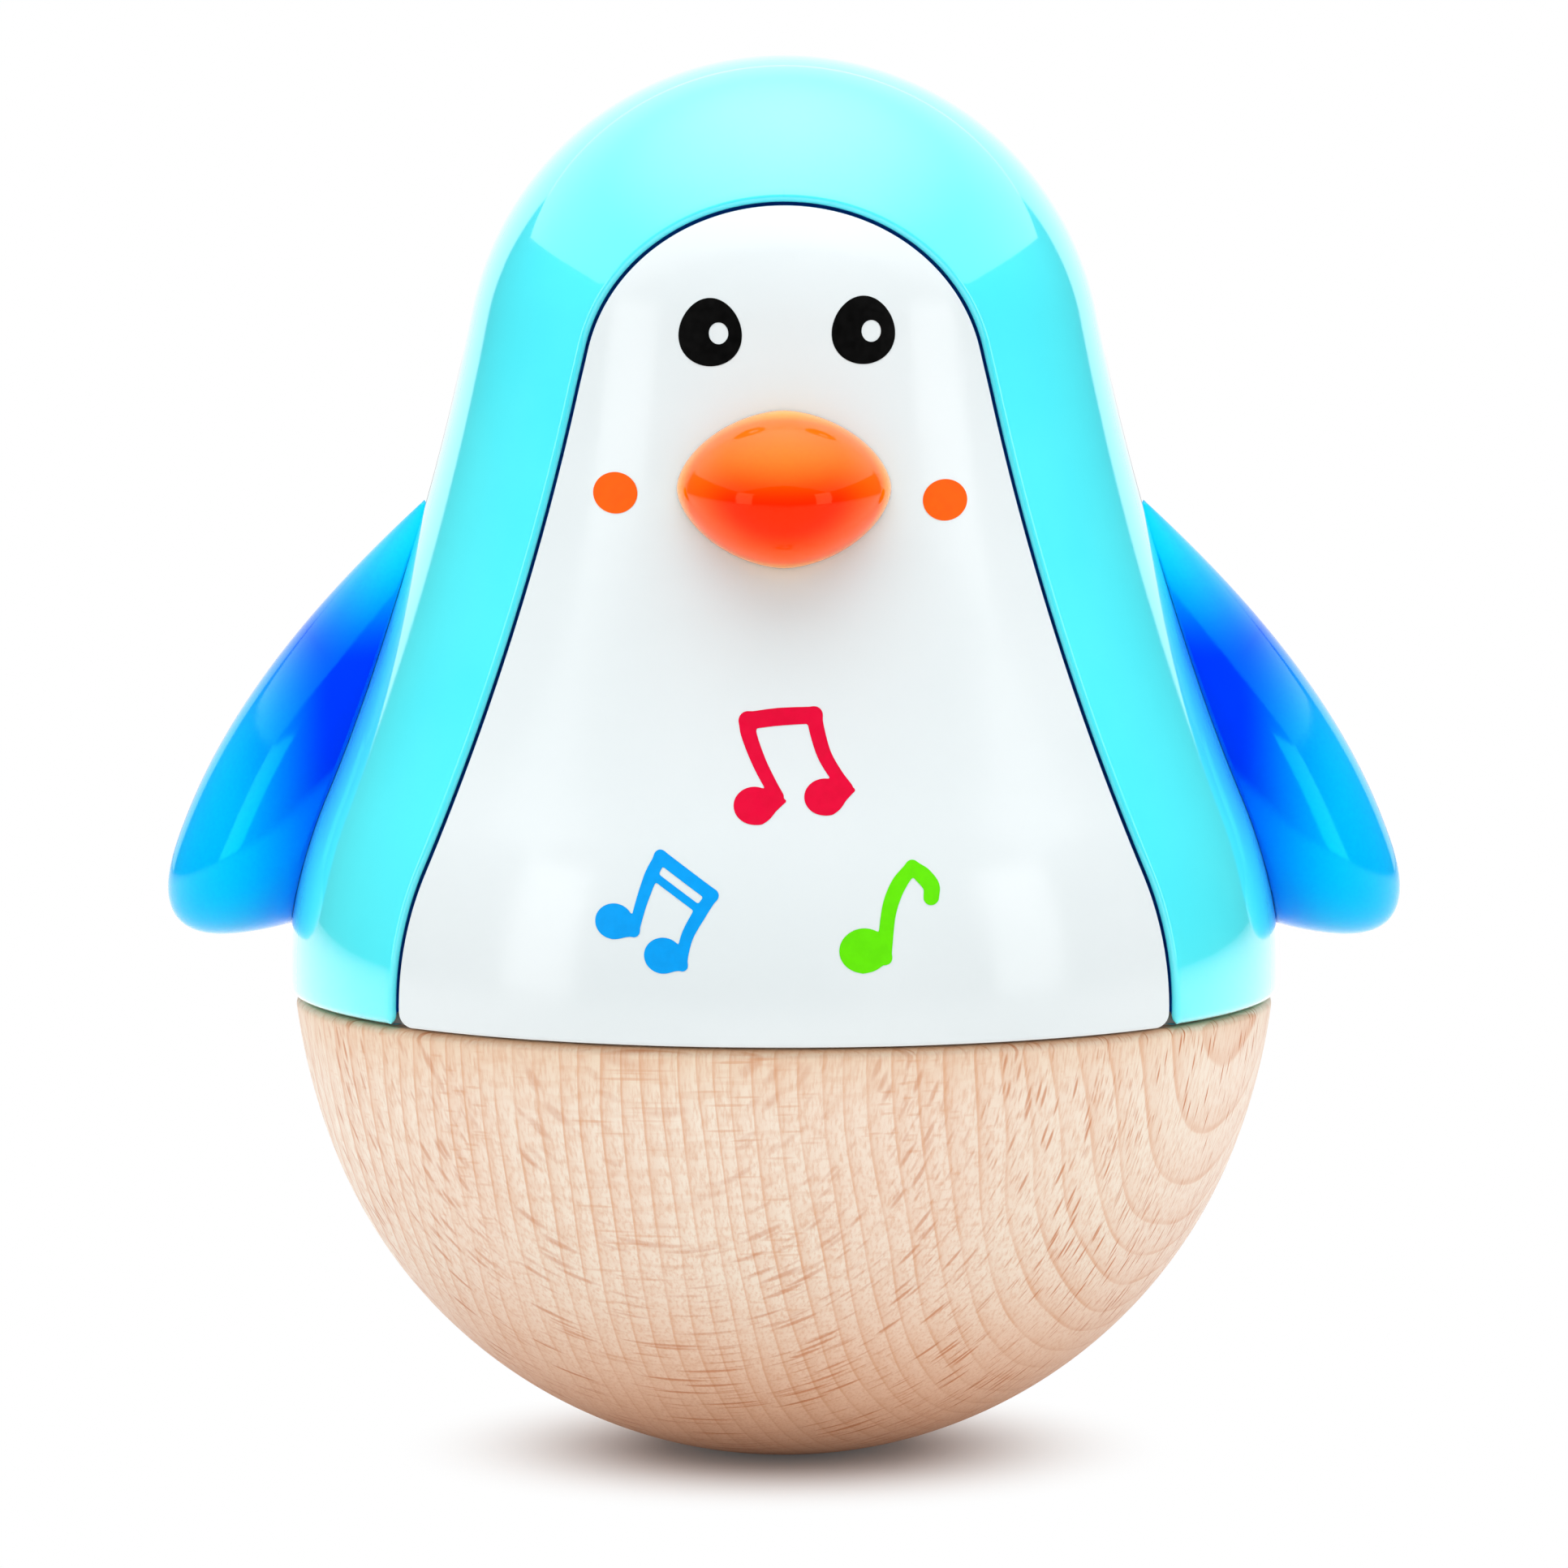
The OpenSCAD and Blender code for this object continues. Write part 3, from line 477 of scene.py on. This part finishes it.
ZINC = metal("zinc_screw", pale=(0.68, 0.69, 0.70), deep=(0.55, 0.56, 0.58), roughness=(0.28, 0.42),
             depth_mm=0.1)
ROD = metal("bright_rod", pale=(0.78, 0.79, 0.80), deep=(0.66, 0.67, 0.69), roughness=(0.16, 0.28),
            depth_mm=0.1, stretch=0.05)
SLOT_LOOKS = {"inner_plastic": INNER, "cast_weight": CAST, "screw_steel": ZINC, "chime_steel": ROD,
              "bead_wood": BEAD}
INKS = {
    "black": printed_ink("ink_black", (0.001, 0.001, 0.001), (0.002, 0.002, 0.002)),
    "orange": printed_ink("ink_orange", (0.98, 0.110, 0.000), (0.95, 0.100, 0.000)),
    "crimson": printed_ink("ink_crimson", (0.71, 0.000, 0.036), (0.67, 0.000, 0.032)),
    "blue": printed_ink("ink_blue", (0.000, 0.32, 0.82), (0.000, 0.30, 0.78)),
    "green": printed_ink("ink_green", (0.120, 0.73, 0.000), (0.110, 0.69, 0.000))}


# Hood: a front band on each side of the opening, with its rounded lip, and the round back
def rim_rows(points, normals):
    """Points with more rows, which round the lower edge below the last row, and a flat underside.

    normals are those of the last row. The lip's columns lead off to its side, so each row is held within
    the rounded skin."""
    level = unit(normals * np.array([1.0, 1.0, 0.0]))
    last = points[-1]
    skin_r = np.linalg.norm(last[:, :2], axis=1).max()

    def held_in(row, inset):
        reach = np.linalg.norm(row[:, :2], axis=1, keepdims=True)
        row[:, :2] *= np.minimum((skin_r - inset) / reach, 1)
        return row

    rows = []
    for a in np.radians(np.linspace(0, 90, ROUND_STEPS + 1))[1:]:
        inset, drop = RIM_R * (1 - math.cos(a)), np.array([0.0, 0.0, RIM_R * math.sin(a)])
        rows.append(held_in(last - drop - inset * level, inset))
    rows.append(held_in(rows[-1] - level * RIM_FLAT, RIM_R))
    return np.concatenate([points, np.stack(rows)])


def lip(inset, z_end):
    """The rounded edge where the hood's skin turns into the opening's wall, on a line set in by inset."""
    line = opening_path(inset, z_end)
    further_in = opening_path(inset + SMALL_STEP, z_end)
    edge, normal = skin(line[:, 0], line[:, 1])
    along = unit(np.gradient(edge, axis=0))
    facing = np.zeros_like(edge)
    facing[:, [0, 2]] = unit(further_in - line)
    return round_corner(edge, normal, along, facing, LIP_R)


def round_corner(edge, normal, along, facing, radius):
    """Points and normals, by columns, of a rounding between the skin and a wall along Y."""
    back = unit(np.cross(along, normal))
    back *= -np.sign(np.sum(back * facing, -1, keepdims=True))
    depth = unit(np.array([0.0, 1.0, 0.0]) - along * along[:, 1:2])
    half = 0.5 * np.arccos(np.clip(np.sum(back * depth, -1), -1, 1))[:, None]
    centre = edge + unit(back + depth) * radius / np.sin(half)
    start = unit(edge + back * radius / np.tan(half) - centre)
    stop = unit(edge + depth * radius / np.tan(half) - centre)
    sweep = math.pi - 2 * half
    share = np.linspace(0, 1, LIP_STEPS + 1)
    turned = [(np.sin((1 - s) * sweep) * start + np.sin(s * sweep) * stop) / np.sin(sweep) for s in share]
    normals = np.stack(turned, 1)
    return centre[:, None] + radius * normals, normals


def hood_shell():
    shell = Shell(HOOD_INSIDE)
    top = RIM_Z + RIM_R
    points, normals = [], []
    for share in np.linspace(0, 1, BAND_STEPS + 1):
        line = opening_path((BAND_W - LIP_ROOM) * share ** 2, top)
        place, normal = skin(line[:, 0], line[:, 1])
        if share == 0:
            place[:, 1] = 0
        points.append(place)
        normals.append(normal)
    lip_points, lip_normals = lip(BAND_W, top)
    band_points = np.concatenate([np.stack(points, 1), lip_points], 1)
    band_normals = np.concatenate([np.stack(normals, 1), lip_normals], 1)
    deep = PANEL_T + SEAT_GAP
    wall = skin(*opening_path(BAND_W, top).T, deep)[0]
    ledge = skin(*opening_path(BAND_W + LEDGE_W, top).T, deep)[0]
    rebate = np.stack([lip_points[:, -1], wall, ledge], 1)
    # The rebate's faces take the second material, a deep blue copy of the hood plastic that paints the shade
    # in the gap round the panel
    for part, look in ((rim_rows(band_points, band_normals[-1]), 0), (rebate, 1)):
        shell.grid(part, look=look)
        shell.grid(mirrored(part), look=look)
    ways = level_ways(np.radians(np.linspace(0, 180, BACK_STEPS + 1)))
    shell.grid(rim_rows(turned_about_z(body_path(0, top), ways), ways))
    shell.piece("hood_shell", [HOOD, REBATE_SHADE], "hood_plastic", ["body_hood"])


# Panel: rows across the opening, and a rounded edge all round
def panel_shell():
    side = opening_path(BAND_W + PANEL_GAP, RIM_Z + CORNER_R)
    corner = arc(side[-1] - [CORNER_R, 0], CORNER_R, 0, -90, CORNER_STEPS)[1:]
    half = np.vstack([side, corner])
    bottom_x = np.linspace(half[-1, 0], -half[-1, 0], PANEL_STEPS + 1)[1:-1]
    bottom = np.column_stack([bottom_x, np.full_like(bottom_x, RIM_Z)])
    loop = np.vstack([half, bottom, (half * [-1, 1])[::-1][:-1]])
    run = unit(np.roll(loop, -1, 0) - np.roll(loop, 1, 0))
    outward = np.column_stack([-run[:, 1], run[:, 0]])
    outward *= np.sign(np.sum(outward * (loop - [PANEL_INSIDE[0], PANEL_INSIDE[2]])))
    facing = np.zeros((len(loop), 3))
    facing[:, [0, 2]] = outward
    edge, normal = skin(loop[:, 0], loop[:, 1])
    along = unit(np.roll(edge, -1, 0) - np.roll(edge, 1, 0))
    ring, _ = round_corner(edge, normal, along, facing, PANEL_EDGE_R)
    wall = edge + np.array([0.0, PANEL_T, 0.0])
    shell = Shell(PANEL_INSIDE)
    shell.grid(np.concatenate([ring, wall[:, None]], 1).transpose(1, 0, 2), closed=True)
    inner = ring[:len(half), 0]
    across = np.linspace(1, -1, PANEL_STEPS + 1)
    shell.grid(skin(inner[:, :1] * across, inner[:, 2:])[0])
    shell.piece("panel_shell", [PANEL], "panel_plastic", ["front_panel"])


# Beak: rings on the panel that shrink as they stand out
def signed_power(value, power):
    return np.sign(value) * np.abs(value) ** power


def beak_shell():
    u = np.linspace(0, 2 * math.pi, BEAK_AROUND, endpoint=False)
    rings = []
    for v in np.radians(np.linspace(0, 90, BEAK_STEPS + 1)):
        share, height = max(math.cos(v), 0) ** BEAK_POWER, BEAK_DEPTH * math.sin(v)
        x = BEAK_W / 2 * share * signed_power(np.cos(u), BEAK_POWER)
        z = BEAK_Z + BEAK_H / 2 * share * signed_power(np.sin(u), BEAK_POWER)
        place = skin(x, z)[0]
        place[:, 1] -= SEAT_GAP + height
        rings.append(place)
    shell = Shell(BEAK_INSIDE)
    shell.grid(np.stack(rings), closed=True)
    shell.piece("beak_shell", [BEAK], "beak_plastic", ["beak"])


# Wings: oval sections along a spine, seated on the hood
def wing_shell(name, side):
    tip = np.array([float(body_radius(WING_TIP_Z)[0]) + PANEL_GAP, WING_TIP_Z])
    length = np.linalg.norm(tip - WING_FOOT)
    axis = (tip - WING_FOOT) / length
    edge_angle = math.radians(WING_EDGE_DEG)
    out = np.array([math.cos(edge_angle), -math.sin(edge_angle)])
    wide = WING_WIDE * length
    swell = np.radians(45 * (1 - np.cos(np.linspace(0, math.pi, WING_FOOT_STEPS + 1))))
    foot = [(wide * (1 - max(math.cos(t), 0) ** WING_FOOT_POWER),
             WING_HALF_W * math.sin(t) ** WING_FOOT_POWER) for t in swell]
    taper = [(wide + (length - wide) * t, WING_HALF_W * (1 - t ** WING_TAPER))
             for t in np.linspace(0, 1, WING_TAPER_STEPS + 1)[1:]]
    u = np.linspace(0, 2 * math.pi, WING_AROUND, endpoint=False)
    rings = []
    for along, half in foot + taper:
        seen = WING_FOOT + along * axis + np.outer(half * np.cos(u), out)
        depth = WING_BACK - WING_DEPTH / 2 * half / WING_HALF_W * np.sin(u)
        ring = np.stack([seen[:, 0], depth, seen[:, 1]], -1)
        reach = np.linalg.norm(ring[:, :2], axis=1)
        least = body_radius(ring[:, 2])[0] + WING_SEAT_GAP
        ring[:, :2] *= np.maximum(least / reach, 1)[:, None]
        rings.append(ring)
    mirror = np.array([side, 1.0, 1.0])
    shell = Shell(WING_INSIDE * mirror)
    shell.grid(np.stack(rings) * mirror, closed=True)
    shell.piece(name + "_shell", [WING], "wing_plastic", [name])


# Bowl: turned outline from its foot to its rounded rim
def bowl_shell():
    middle = np.array([0, math.sqrt(BOWL_R ** 2 - FOOT_R ** 2)])
    flare = math.radians(FLARE_DEG)
    flare_c = middle - (FLARE_R - BOWL_R) * np.array([math.cos(flare), -math.sin(flare)])
    edge_z = SEAM_Z - BOWL_EDGE_R
    rim_r = flare_c[0] + math.sqrt(FLARE_R ** 2 - (edge_z - flare_c[1]) ** 2)
    foot_deg = -math.degrees(math.acos(FOOT_R / BOWL_R))
    rim_deg = math.degrees(math.asin((edge_z - flare_c[1]) / FLARE_R))
    path = np.vstack([
        [[0, 0], [FOOT_R / 2, 0], [FOOT_R - FOOT_EASE, 0]],
        arc(middle, BOWL_R, foot_deg, -FLARE_DEG, BOWL_STEPS)[1:],
        arc(flare_c, FLARE_R, -FLARE_DEG, rim_deg, FLARE_STEPS)[1:],
        arc([rim_r - BOWL_EDGE_R, edge_z], BOWL_EDGE_R, 0, 90, BOWL_EDGE_STEPS)[1:],
        [[rim_r - BOWL_STRIP_W, SEAM_Z], [BOWL_INNER_R, SEAM_Z]]])
    ways = level_ways(np.linspace(0, 2 * math.pi, BOWL_AROUND, endpoint=False))
    shell = Shell(BOWL_INSIDE)
    shell.grid(turned_about_z(path, ways), closed=True)
    shell.piece("wood_bowl", [WOOD], "beech", ["wood_base"])


# Prints: flat shapes as fields that are negative inside, laid on the panel as thin ink
def egg(centre, half_w, half_h, narrow=0.0):
    """An oval that gets narrower towards its top, by a share of its width."""
    def field(x, z):
        v = (z - centre[1]) / half_h
        u = (x - centre[0]) / (half_w * (1 - narrow * np.clip(v, -1, 1)))
        return (np.sqrt(u ** 2 + v ** 2) - 1) * min(half_w, half_h)
    return field


def curve_through(points):
    """A smooth line through a few points."""
    p = np.array(points, float)
    p = np.vstack([2 * p[0] - p[1], p, 2 * p[-1] - p[-2]])
    line = []
    for a, b, c, d in zip(p[:-3], p[1:-2], p[2:-1], p[3:]):
        for t in np.arange(CURVE_STEPS) / CURVE_STEPS:
            line.append(0.5 * (2 * b + (c - a) * t + (2 * a - 5 * b + 4 * c - d) * t ** 2
                               + (3 * b - a - 3 * c + d) * t ** 3))
    return np.array(line + [p[-2]])


def stroke(points, half_widths):
    """A pen stroke: a smooth line whose half width goes through values that are evenly spaced along it."""
    line = curve_through(points) if len(points) > 2 else np.array(points, float)
    widths = np.interp(np.linspace(0, 1, len(line)), np.linspace(0, 1, len(half_widths)), half_widths)

    def field(x, z):
        best = np.full(x.shape, np.inf)
        for a, b, wa, wb in zip(line[:-1], line[1:], widths[:-1], widths[1:]):
            d = b - a
            t = np.clip(((x - a[0]) * d[0] + (z - a[1]) * d[1]) / (d @ d), 0, 1)
            off = np.hypot(x - a[0] - t * d[0], z - a[1] - t * d[1])
            best = np.minimum(best, off - (wa + t * (wb - wa)))
        return best
    return field


def joined(*fields, soft=0.18):
    """One shape from several, with their inner corners filled a little."""
    def field(x, z):
        total = fields[0](x, z)
        for other in fields[1:]:
            value = other(x, z)
            share = np.clip(0.5 + 0.5 * (value - total) / soft, 0, 1)
            total = value * (1 - share) + total * share - soft * share * (1 - share)
        return total
    return field


def without(field, hole):
    """A shape with another one cut out of it."""
    return lambda x, z: np.maximum(field(x, z), -hole(x, z))


def print_piece(name, field, box, ink, cell=CELL):
    """The inside of a field as a mesh on the panel: cells cut along the line where it is zero.

    box gives the two limits across and the two up, between which the field is looked at."""
    xs, zs = np.arange(box[0], box[1], cell), np.arange(box[2], box[3], cell)
    values = field(*np.meshgrid(xs, zs, indexing="ij")) - INK_SPREAD
    index, places, faces = {}, [], []

    def vertex(key, x, z):
        if key not in index:
            index[key] = len(places)
            places.append((x, z))
        return index[key]

    for i in range(len(xs) - 1):
        for j in range(len(zs) - 1):
            corners = [(i, j), (i + 1, j), (i + 1, j + 1), (i, j + 1)]
            inside = [values[c] < 0 for c in corners]
            if not any(inside):
                continue
            loop = []
            for k, c in enumerate(corners):
                d = corners[(k + 1) % 4]
                if inside[k]:
                    loop.append(vertex(c, xs[c[0]], zs[c[1]]))
                if inside[k] != inside[(k + 1) % 4]:
                    t = values[c] / (values[c] - values[d])
                    x = xs[c[0]] + t * (xs[d[0]] - xs[c[0]])
                    z = zs[c[1]] + t * (zs[d[1]] - zs[c[1]])
                    loop.append(vertex(tuple(sorted((c, d))), x, z))
            faces.append(loop)
    places = np.array(places)
    points, normals = skin(places[:, 0], places[:, 1])
    make_piece(name, points + INK_T * normals, faces, [INKS[ink]])


# Places on the panel as seen from the front: each eye with its glint, the cheeks, and boxes round them
EYES = {"left": ((-6.6, 105.5), (-5.85, 105.4)), "right": ((7.1, 105.7), (7.8, 105.6))}
CHEEKS = {"left": (-15.1, 91.15), "right": (14.4, 90.55)}
EYE_HALF_W, EYE_HALF_H, EYE_NARROW = 2.8, 3.0, 0.1
GLINT_HALF_W, GLINT_HALF_H = 0.9, 1.0
CHEEK_HALF_W, CHEEK_HALF_H = 1.97, 1.8
EYE_BOX_HALF, EYE_BOX_Z, CHEEK_BOX_HALF, CHEEK_BOX_Z = 4, (101, 110), 3, (87, 95)


def face_prints():
    for side, (middle, glint) in EYES.items():
        eye = without(egg(middle, EYE_HALF_W, EYE_HALF_H, EYE_NARROW), egg(glint, GLINT_HALF_W, GLINT_HALF_H))
        box = (middle[0] - EYE_BOX_HALF, middle[0] + EYE_BOX_HALF, *EYE_BOX_Z)
        print_piece(side + "_eye", eye, box, "black", FINE_CELL)
    for side, middle in CHEEKS.items():
        cheek = egg(middle, CHEEK_HALF_W, CHEEK_HALF_H)
        box = (middle[0] - CHEEK_BOX_HALF, middle[0] + CHEEK_BOX_HALF, *CHEEK_BOX_Z)
        print_piece(side + "_cheek", cheek, box, "orange", FINE_CELL)


def note_prints():
    """Music notes from pen strokes, each with points along it and half widths, and eggs for the heads."""
    pair = joined(
        stroke([(-3.2, 71.5), (-0.5, 71.85), (2.7, 72.0)], [0.72, 0.74, 0.7]),
        stroke([(-3.2, 71.5), (-3.1, 70.3), (-2.25, 68.05), (-1.3, 66.2), (-0.55, 65.0)],
               [0.78, 0.66, 0.6, 0.56, 0.5]),
        stroke([(2.65, 72.0), (3.0, 70.35), (3.6, 68.5), (4.6, 66.85), (5.55, 65.7)],
               [0.66, 0.64, 0.6, 0.56, 0.5]),
        egg((-2.6, 64.2), 1.82, 1.6), stroke([(-2.2, 64.15), (0.0, 64.6)], [1.5, 0.16]),
        egg((3.6, 64.95), 1.78, 1.55), stroke([(3.95, 64.9), (6.1, 65.5)], [1.45, 0.16]))
    print_piece("note_pair", pair, (-6, 8, 61, 74), "crimson")
    double = joined(
        stroke([(-10.9, 59.75), (-6.35, 56.5)], [0.55, 0.55]),
        stroke([(-11.2, 57.9), (-7.75, 55.45)], [0.33, 0.33]),
        stroke([(-10.9, 59.75), (-11.75, 58.05), (-12.6, 55.7), (-13.2, 53.5)], [0.5, 0.56, 0.48, 0.44]),
        stroke([(-6.35, 56.5), (-7.5, 54.8), (-8.45, 53.1), (-8.85, 51.7), (-9.0, 50.4)],
               [0.5, 0.56, 0.52, 0.48, 0.42]),
        egg((-15.0, 54.05), 1.65, 1.52), stroke([(-14.6, 53.85), (-13.25, 53.25)], [1.35, 0.5]),
        egg((-10.65, 51.2), 1.66, 1.54), stroke([(-10.3, 51.0), (-8.95, 50.35)], [1.38, 0.45]))
    print_piece("note_double", double, (-18, -5, 48, 62), "blue")
    single = joined(
        stroke([(11.3, 58.85), (10.2, 57.5), (9.5, 56.0), (9.15, 54.5), (8.95, 52.6), (8.85, 51.2)],
               [0.55, 0.66, 0.66, 0.62, 0.62, 0.6]),
        stroke([(11.3, 58.85), (12.25, 58.1), (13.0, 57.15), (13.0, 56.2)], [0.55, 0.7, 0.7, 0.66]),
        egg((7.05, 51.7), 2.15, 1.92), stroke([(7.5, 51.45), (8.95, 51.0)], [1.75, 0.55]))
    print_piece("note_single", single, (3, 15, 48, 61), "green")


hood_shell()
panel_shell()
beak_shell()
wing_shell("left_wing", -1)
wing_shell("right_wing", 1)
bowl_shell()
face_prints()
note_prints()

# Inside pieces keep their solids and get the finish of their slot
for subpart in frame["record"]["subparts"]:
    look = SLOT_LOOKS.get(subpart["material_slot"])
    if look:
        for material_slot in frame["nodes"][subpart["node"]].material_slots:
            material_slot.material = look


# Studio: white sweep, a wide top light with a brighter round place, two strips and a dim front.
# Sizes are in metres, and levels are brightnesses where 1 is white.
TOP_LIGHT = {"at": (0, 0.35, 0.90), "aim": (0, 0.35, 0), "size": (3.2, 2.1), "level": 0.95,
             "hot": ((0.0, -0.42), 0.95, 2.85)}
STRIP_OFF, STRIP_Y, STRIP_Z = 0.84, -0.54, 0.28
STRIP = {"aim": (0, 0, 0.09), "size": (0.32, 0.5), "level": 2.2}

# What glossy surfaces see behind the toy: a white wedge, by its slope to the sides, its soft edge and the
# rises between which its top fades out, in a dim room
WEDGE_SLOPE, WEDGE_SOFT, WEDGE_TOP, LEAST_AHEAD = 1.25, 0.03, (0.585, 0.550), 0.05
WEDGE_LEVEL, ROOM_LEVEL = 0.90, 0.10

# Fill light on other surfaces, from behind to in front: the headings along Y and their levels
FILL_FROM, FILL_TO, FILL_BACK, FILL_FRONT = 0.4, -0.9, 0.38, 0.66

# The floor's half size, and the distances from the toy's foot between which its shadow fades to white
FLOOR_HALF, SHADOW_FROM, SHADOW_TO, SHADOW_WHITE = 3.0, 0.010, 0.037, 0.05
PAPER, WHITE = colour(0.80, 0.78, 0.77), colour(1.0, 1.0, 1.0)


def look_at(holder, at, aim):
    heading = Vector([end - start for start, end in zip(at, aim)])
    holder.location = at
    holder.rotation_euler = heading.to_track_quat("-Z", "Y").to_euler()


def softbox(name, at, aim, size, level, hot=None):
    """A rectangular light of a brightness that looks from at to aim.

    hot is a brighter round place on it: its middle and reach in metres, and its brightness."""
    lamp = bpy.data.lights.new(name, "AREA")
    lamp.shape, lamp.size, lamp.size_y = "RECTANGLE", size[0], size[1]
    lamp.energy = math.pi * size[0] * size[1]
    n = clear_nodes(lamp)
    middle, reach, peak = hot or ((0, 0), 1.0, level)
    cloth = n.add("ShaderNodeNewGeometry").outputs["Parametric"]
    place = n.add("ShaderNodeVectorMath", {0: cloth, 1: (size[0], size[1], 0.0)},
                  operation="MULTIPLY").outputs[0]
    centre = (size[0] / 2 + middle[0], size[1] / 2 + middle[1], 0.0)
    off = n.add("ShaderNodeVectorMath", {0: place, 1: centre}, operation="DISTANCE").outputs["Value"]
    glow = n.add("ShaderNodeEmission", {"Strength": n.ramp(off, 0.0, reach, peak, level)})
    n.add("ShaderNodeOutputLight", {"Surface": glow.outputs[0]})
    look_at(add_object(name, lamp), at, aim)


def studio_world():
    """White to the camera, an uneven fill to matt surfaces, and a white wedge in a dim room to glossy ones.

    The wedge ends where the top light's far edge is, so that no reflection sees both at full strength."""
    world = bpy.data.worlds.new("studio")
    bpy.context.scene.world = world
    n = clear_nodes(world)
    way = n.add("ShaderNodeLightPath").outputs
    x, y, z = n.split(n.coords("Generated"))
    aside = n.math("MULTIPLY", n.math("ABSOLUTE", x), WEDGE_SLOPE)
    rise = n.math("DIVIDE", z, n.math("MAXIMUM", y, LEAST_AHEAD))
    wedge = n.math("MULTIPLY", n.ramp(n.math("SUBTRACT", y, aside), -WEDGE_SOFT, WEDGE_SOFT),
                   n.ramp(rise, *WEDGE_TOP))
    behind = n.math("ADD", n.math("MULTIPLY", wedge, WEDGE_LEVEL), ROOM_LEVEL)
    fill = n.ramp(y, FILL_FROM, FILL_TO, FILL_BACK, FILL_FRONT)
    level = n.math("ADD", n.math("MULTIPLY", way["Is Glossy Ray"], behind),
                   n.math("MULTIPLY", n.math("SUBTRACT", 1.0, way["Is Glossy Ray"]), fill))
    level = n.math("MAXIMUM", level, way["Is Camera Ray"])
    back = n.add("ShaderNodeBackground", {"Color": WHITE, "Strength": level})
    n.add("ShaderNodeOutputWorld", {"Surface": back.outputs[0]})


def floor():
    """Paper that the camera sees near the toy's foot, with its shadow, and plain white further out."""
    mesh = bpy.data.meshes.new("floor")
    corners = [(x * FLOOR_HALF, y * FLOOR_HALF, 0) for x, y in ((-1, -1), (1, -1), (1, 1), (-1, 1))]
    mesh.from_pydata(corners, [], [(0, 1, 2, 3)])
    material = bpy.data.materials.new("white_floor")
    n = clear_nodes(material)
    away = n.add("ShaderNodeVectorMath", {0: n.coords()}, operation="LENGTH").outputs["Value"]
    seen = n.add("ShaderNodeLightPath").outputs["Is Camera Ray"]
    fade = n.math("MULTIPLY", seen, n.ramp(away, SHADOW_FROM, SHADOW_TO, SHADOW_WHITE, 1.0))
    paper = n.add("ShaderNodeBsdfDiffuse", {"Color": PAPER}).outputs[0]
    white = n.add("ShaderNodeEmission", {"Color": WHITE, "Strength": 1.0}).outputs[0]
    both = n.add("ShaderNodeMixShader", {0: fade, 1: paper, 2: white}).outputs[0]
    n.add("ShaderNodeOutputMaterial", {"Surface": both})
    mesh.materials.append(material)
    add_object("floor", mesh)


softbox("top_light", **TOP_LIGHT)
for strip_name, side in (("left_strip", -1), ("right_strip", 1)):
    softbox(strip_name, at=(side * STRIP_OFF, STRIP_Y, STRIP_Z), **STRIP)
studio_world()
floor()

# Camera at the photograph's angle: 5.3 degrees down on the toy's middle, with a long lens
CAMERA_AT, CAMERA_AIM, LENS, SENSOR_W = (0.0, -0.8, 0.13593), (0.0, 0.0, 0.06232), 198.0, 36.0
lens = bpy.data.cameras.new("camera")
lens.lens, lens.sensor_width, lens.sensor_fit = LENS, SENSOR_W, "HORIZONTAL"
camera = add_object("camera", lens)
look_at(camera, CAMERA_AT, CAMERA_AIM)
bpy.context.scene.camera = camera
bpy.context.scene.view_settings.view_transform = "Standard"

bpy.context.view_layer.update()
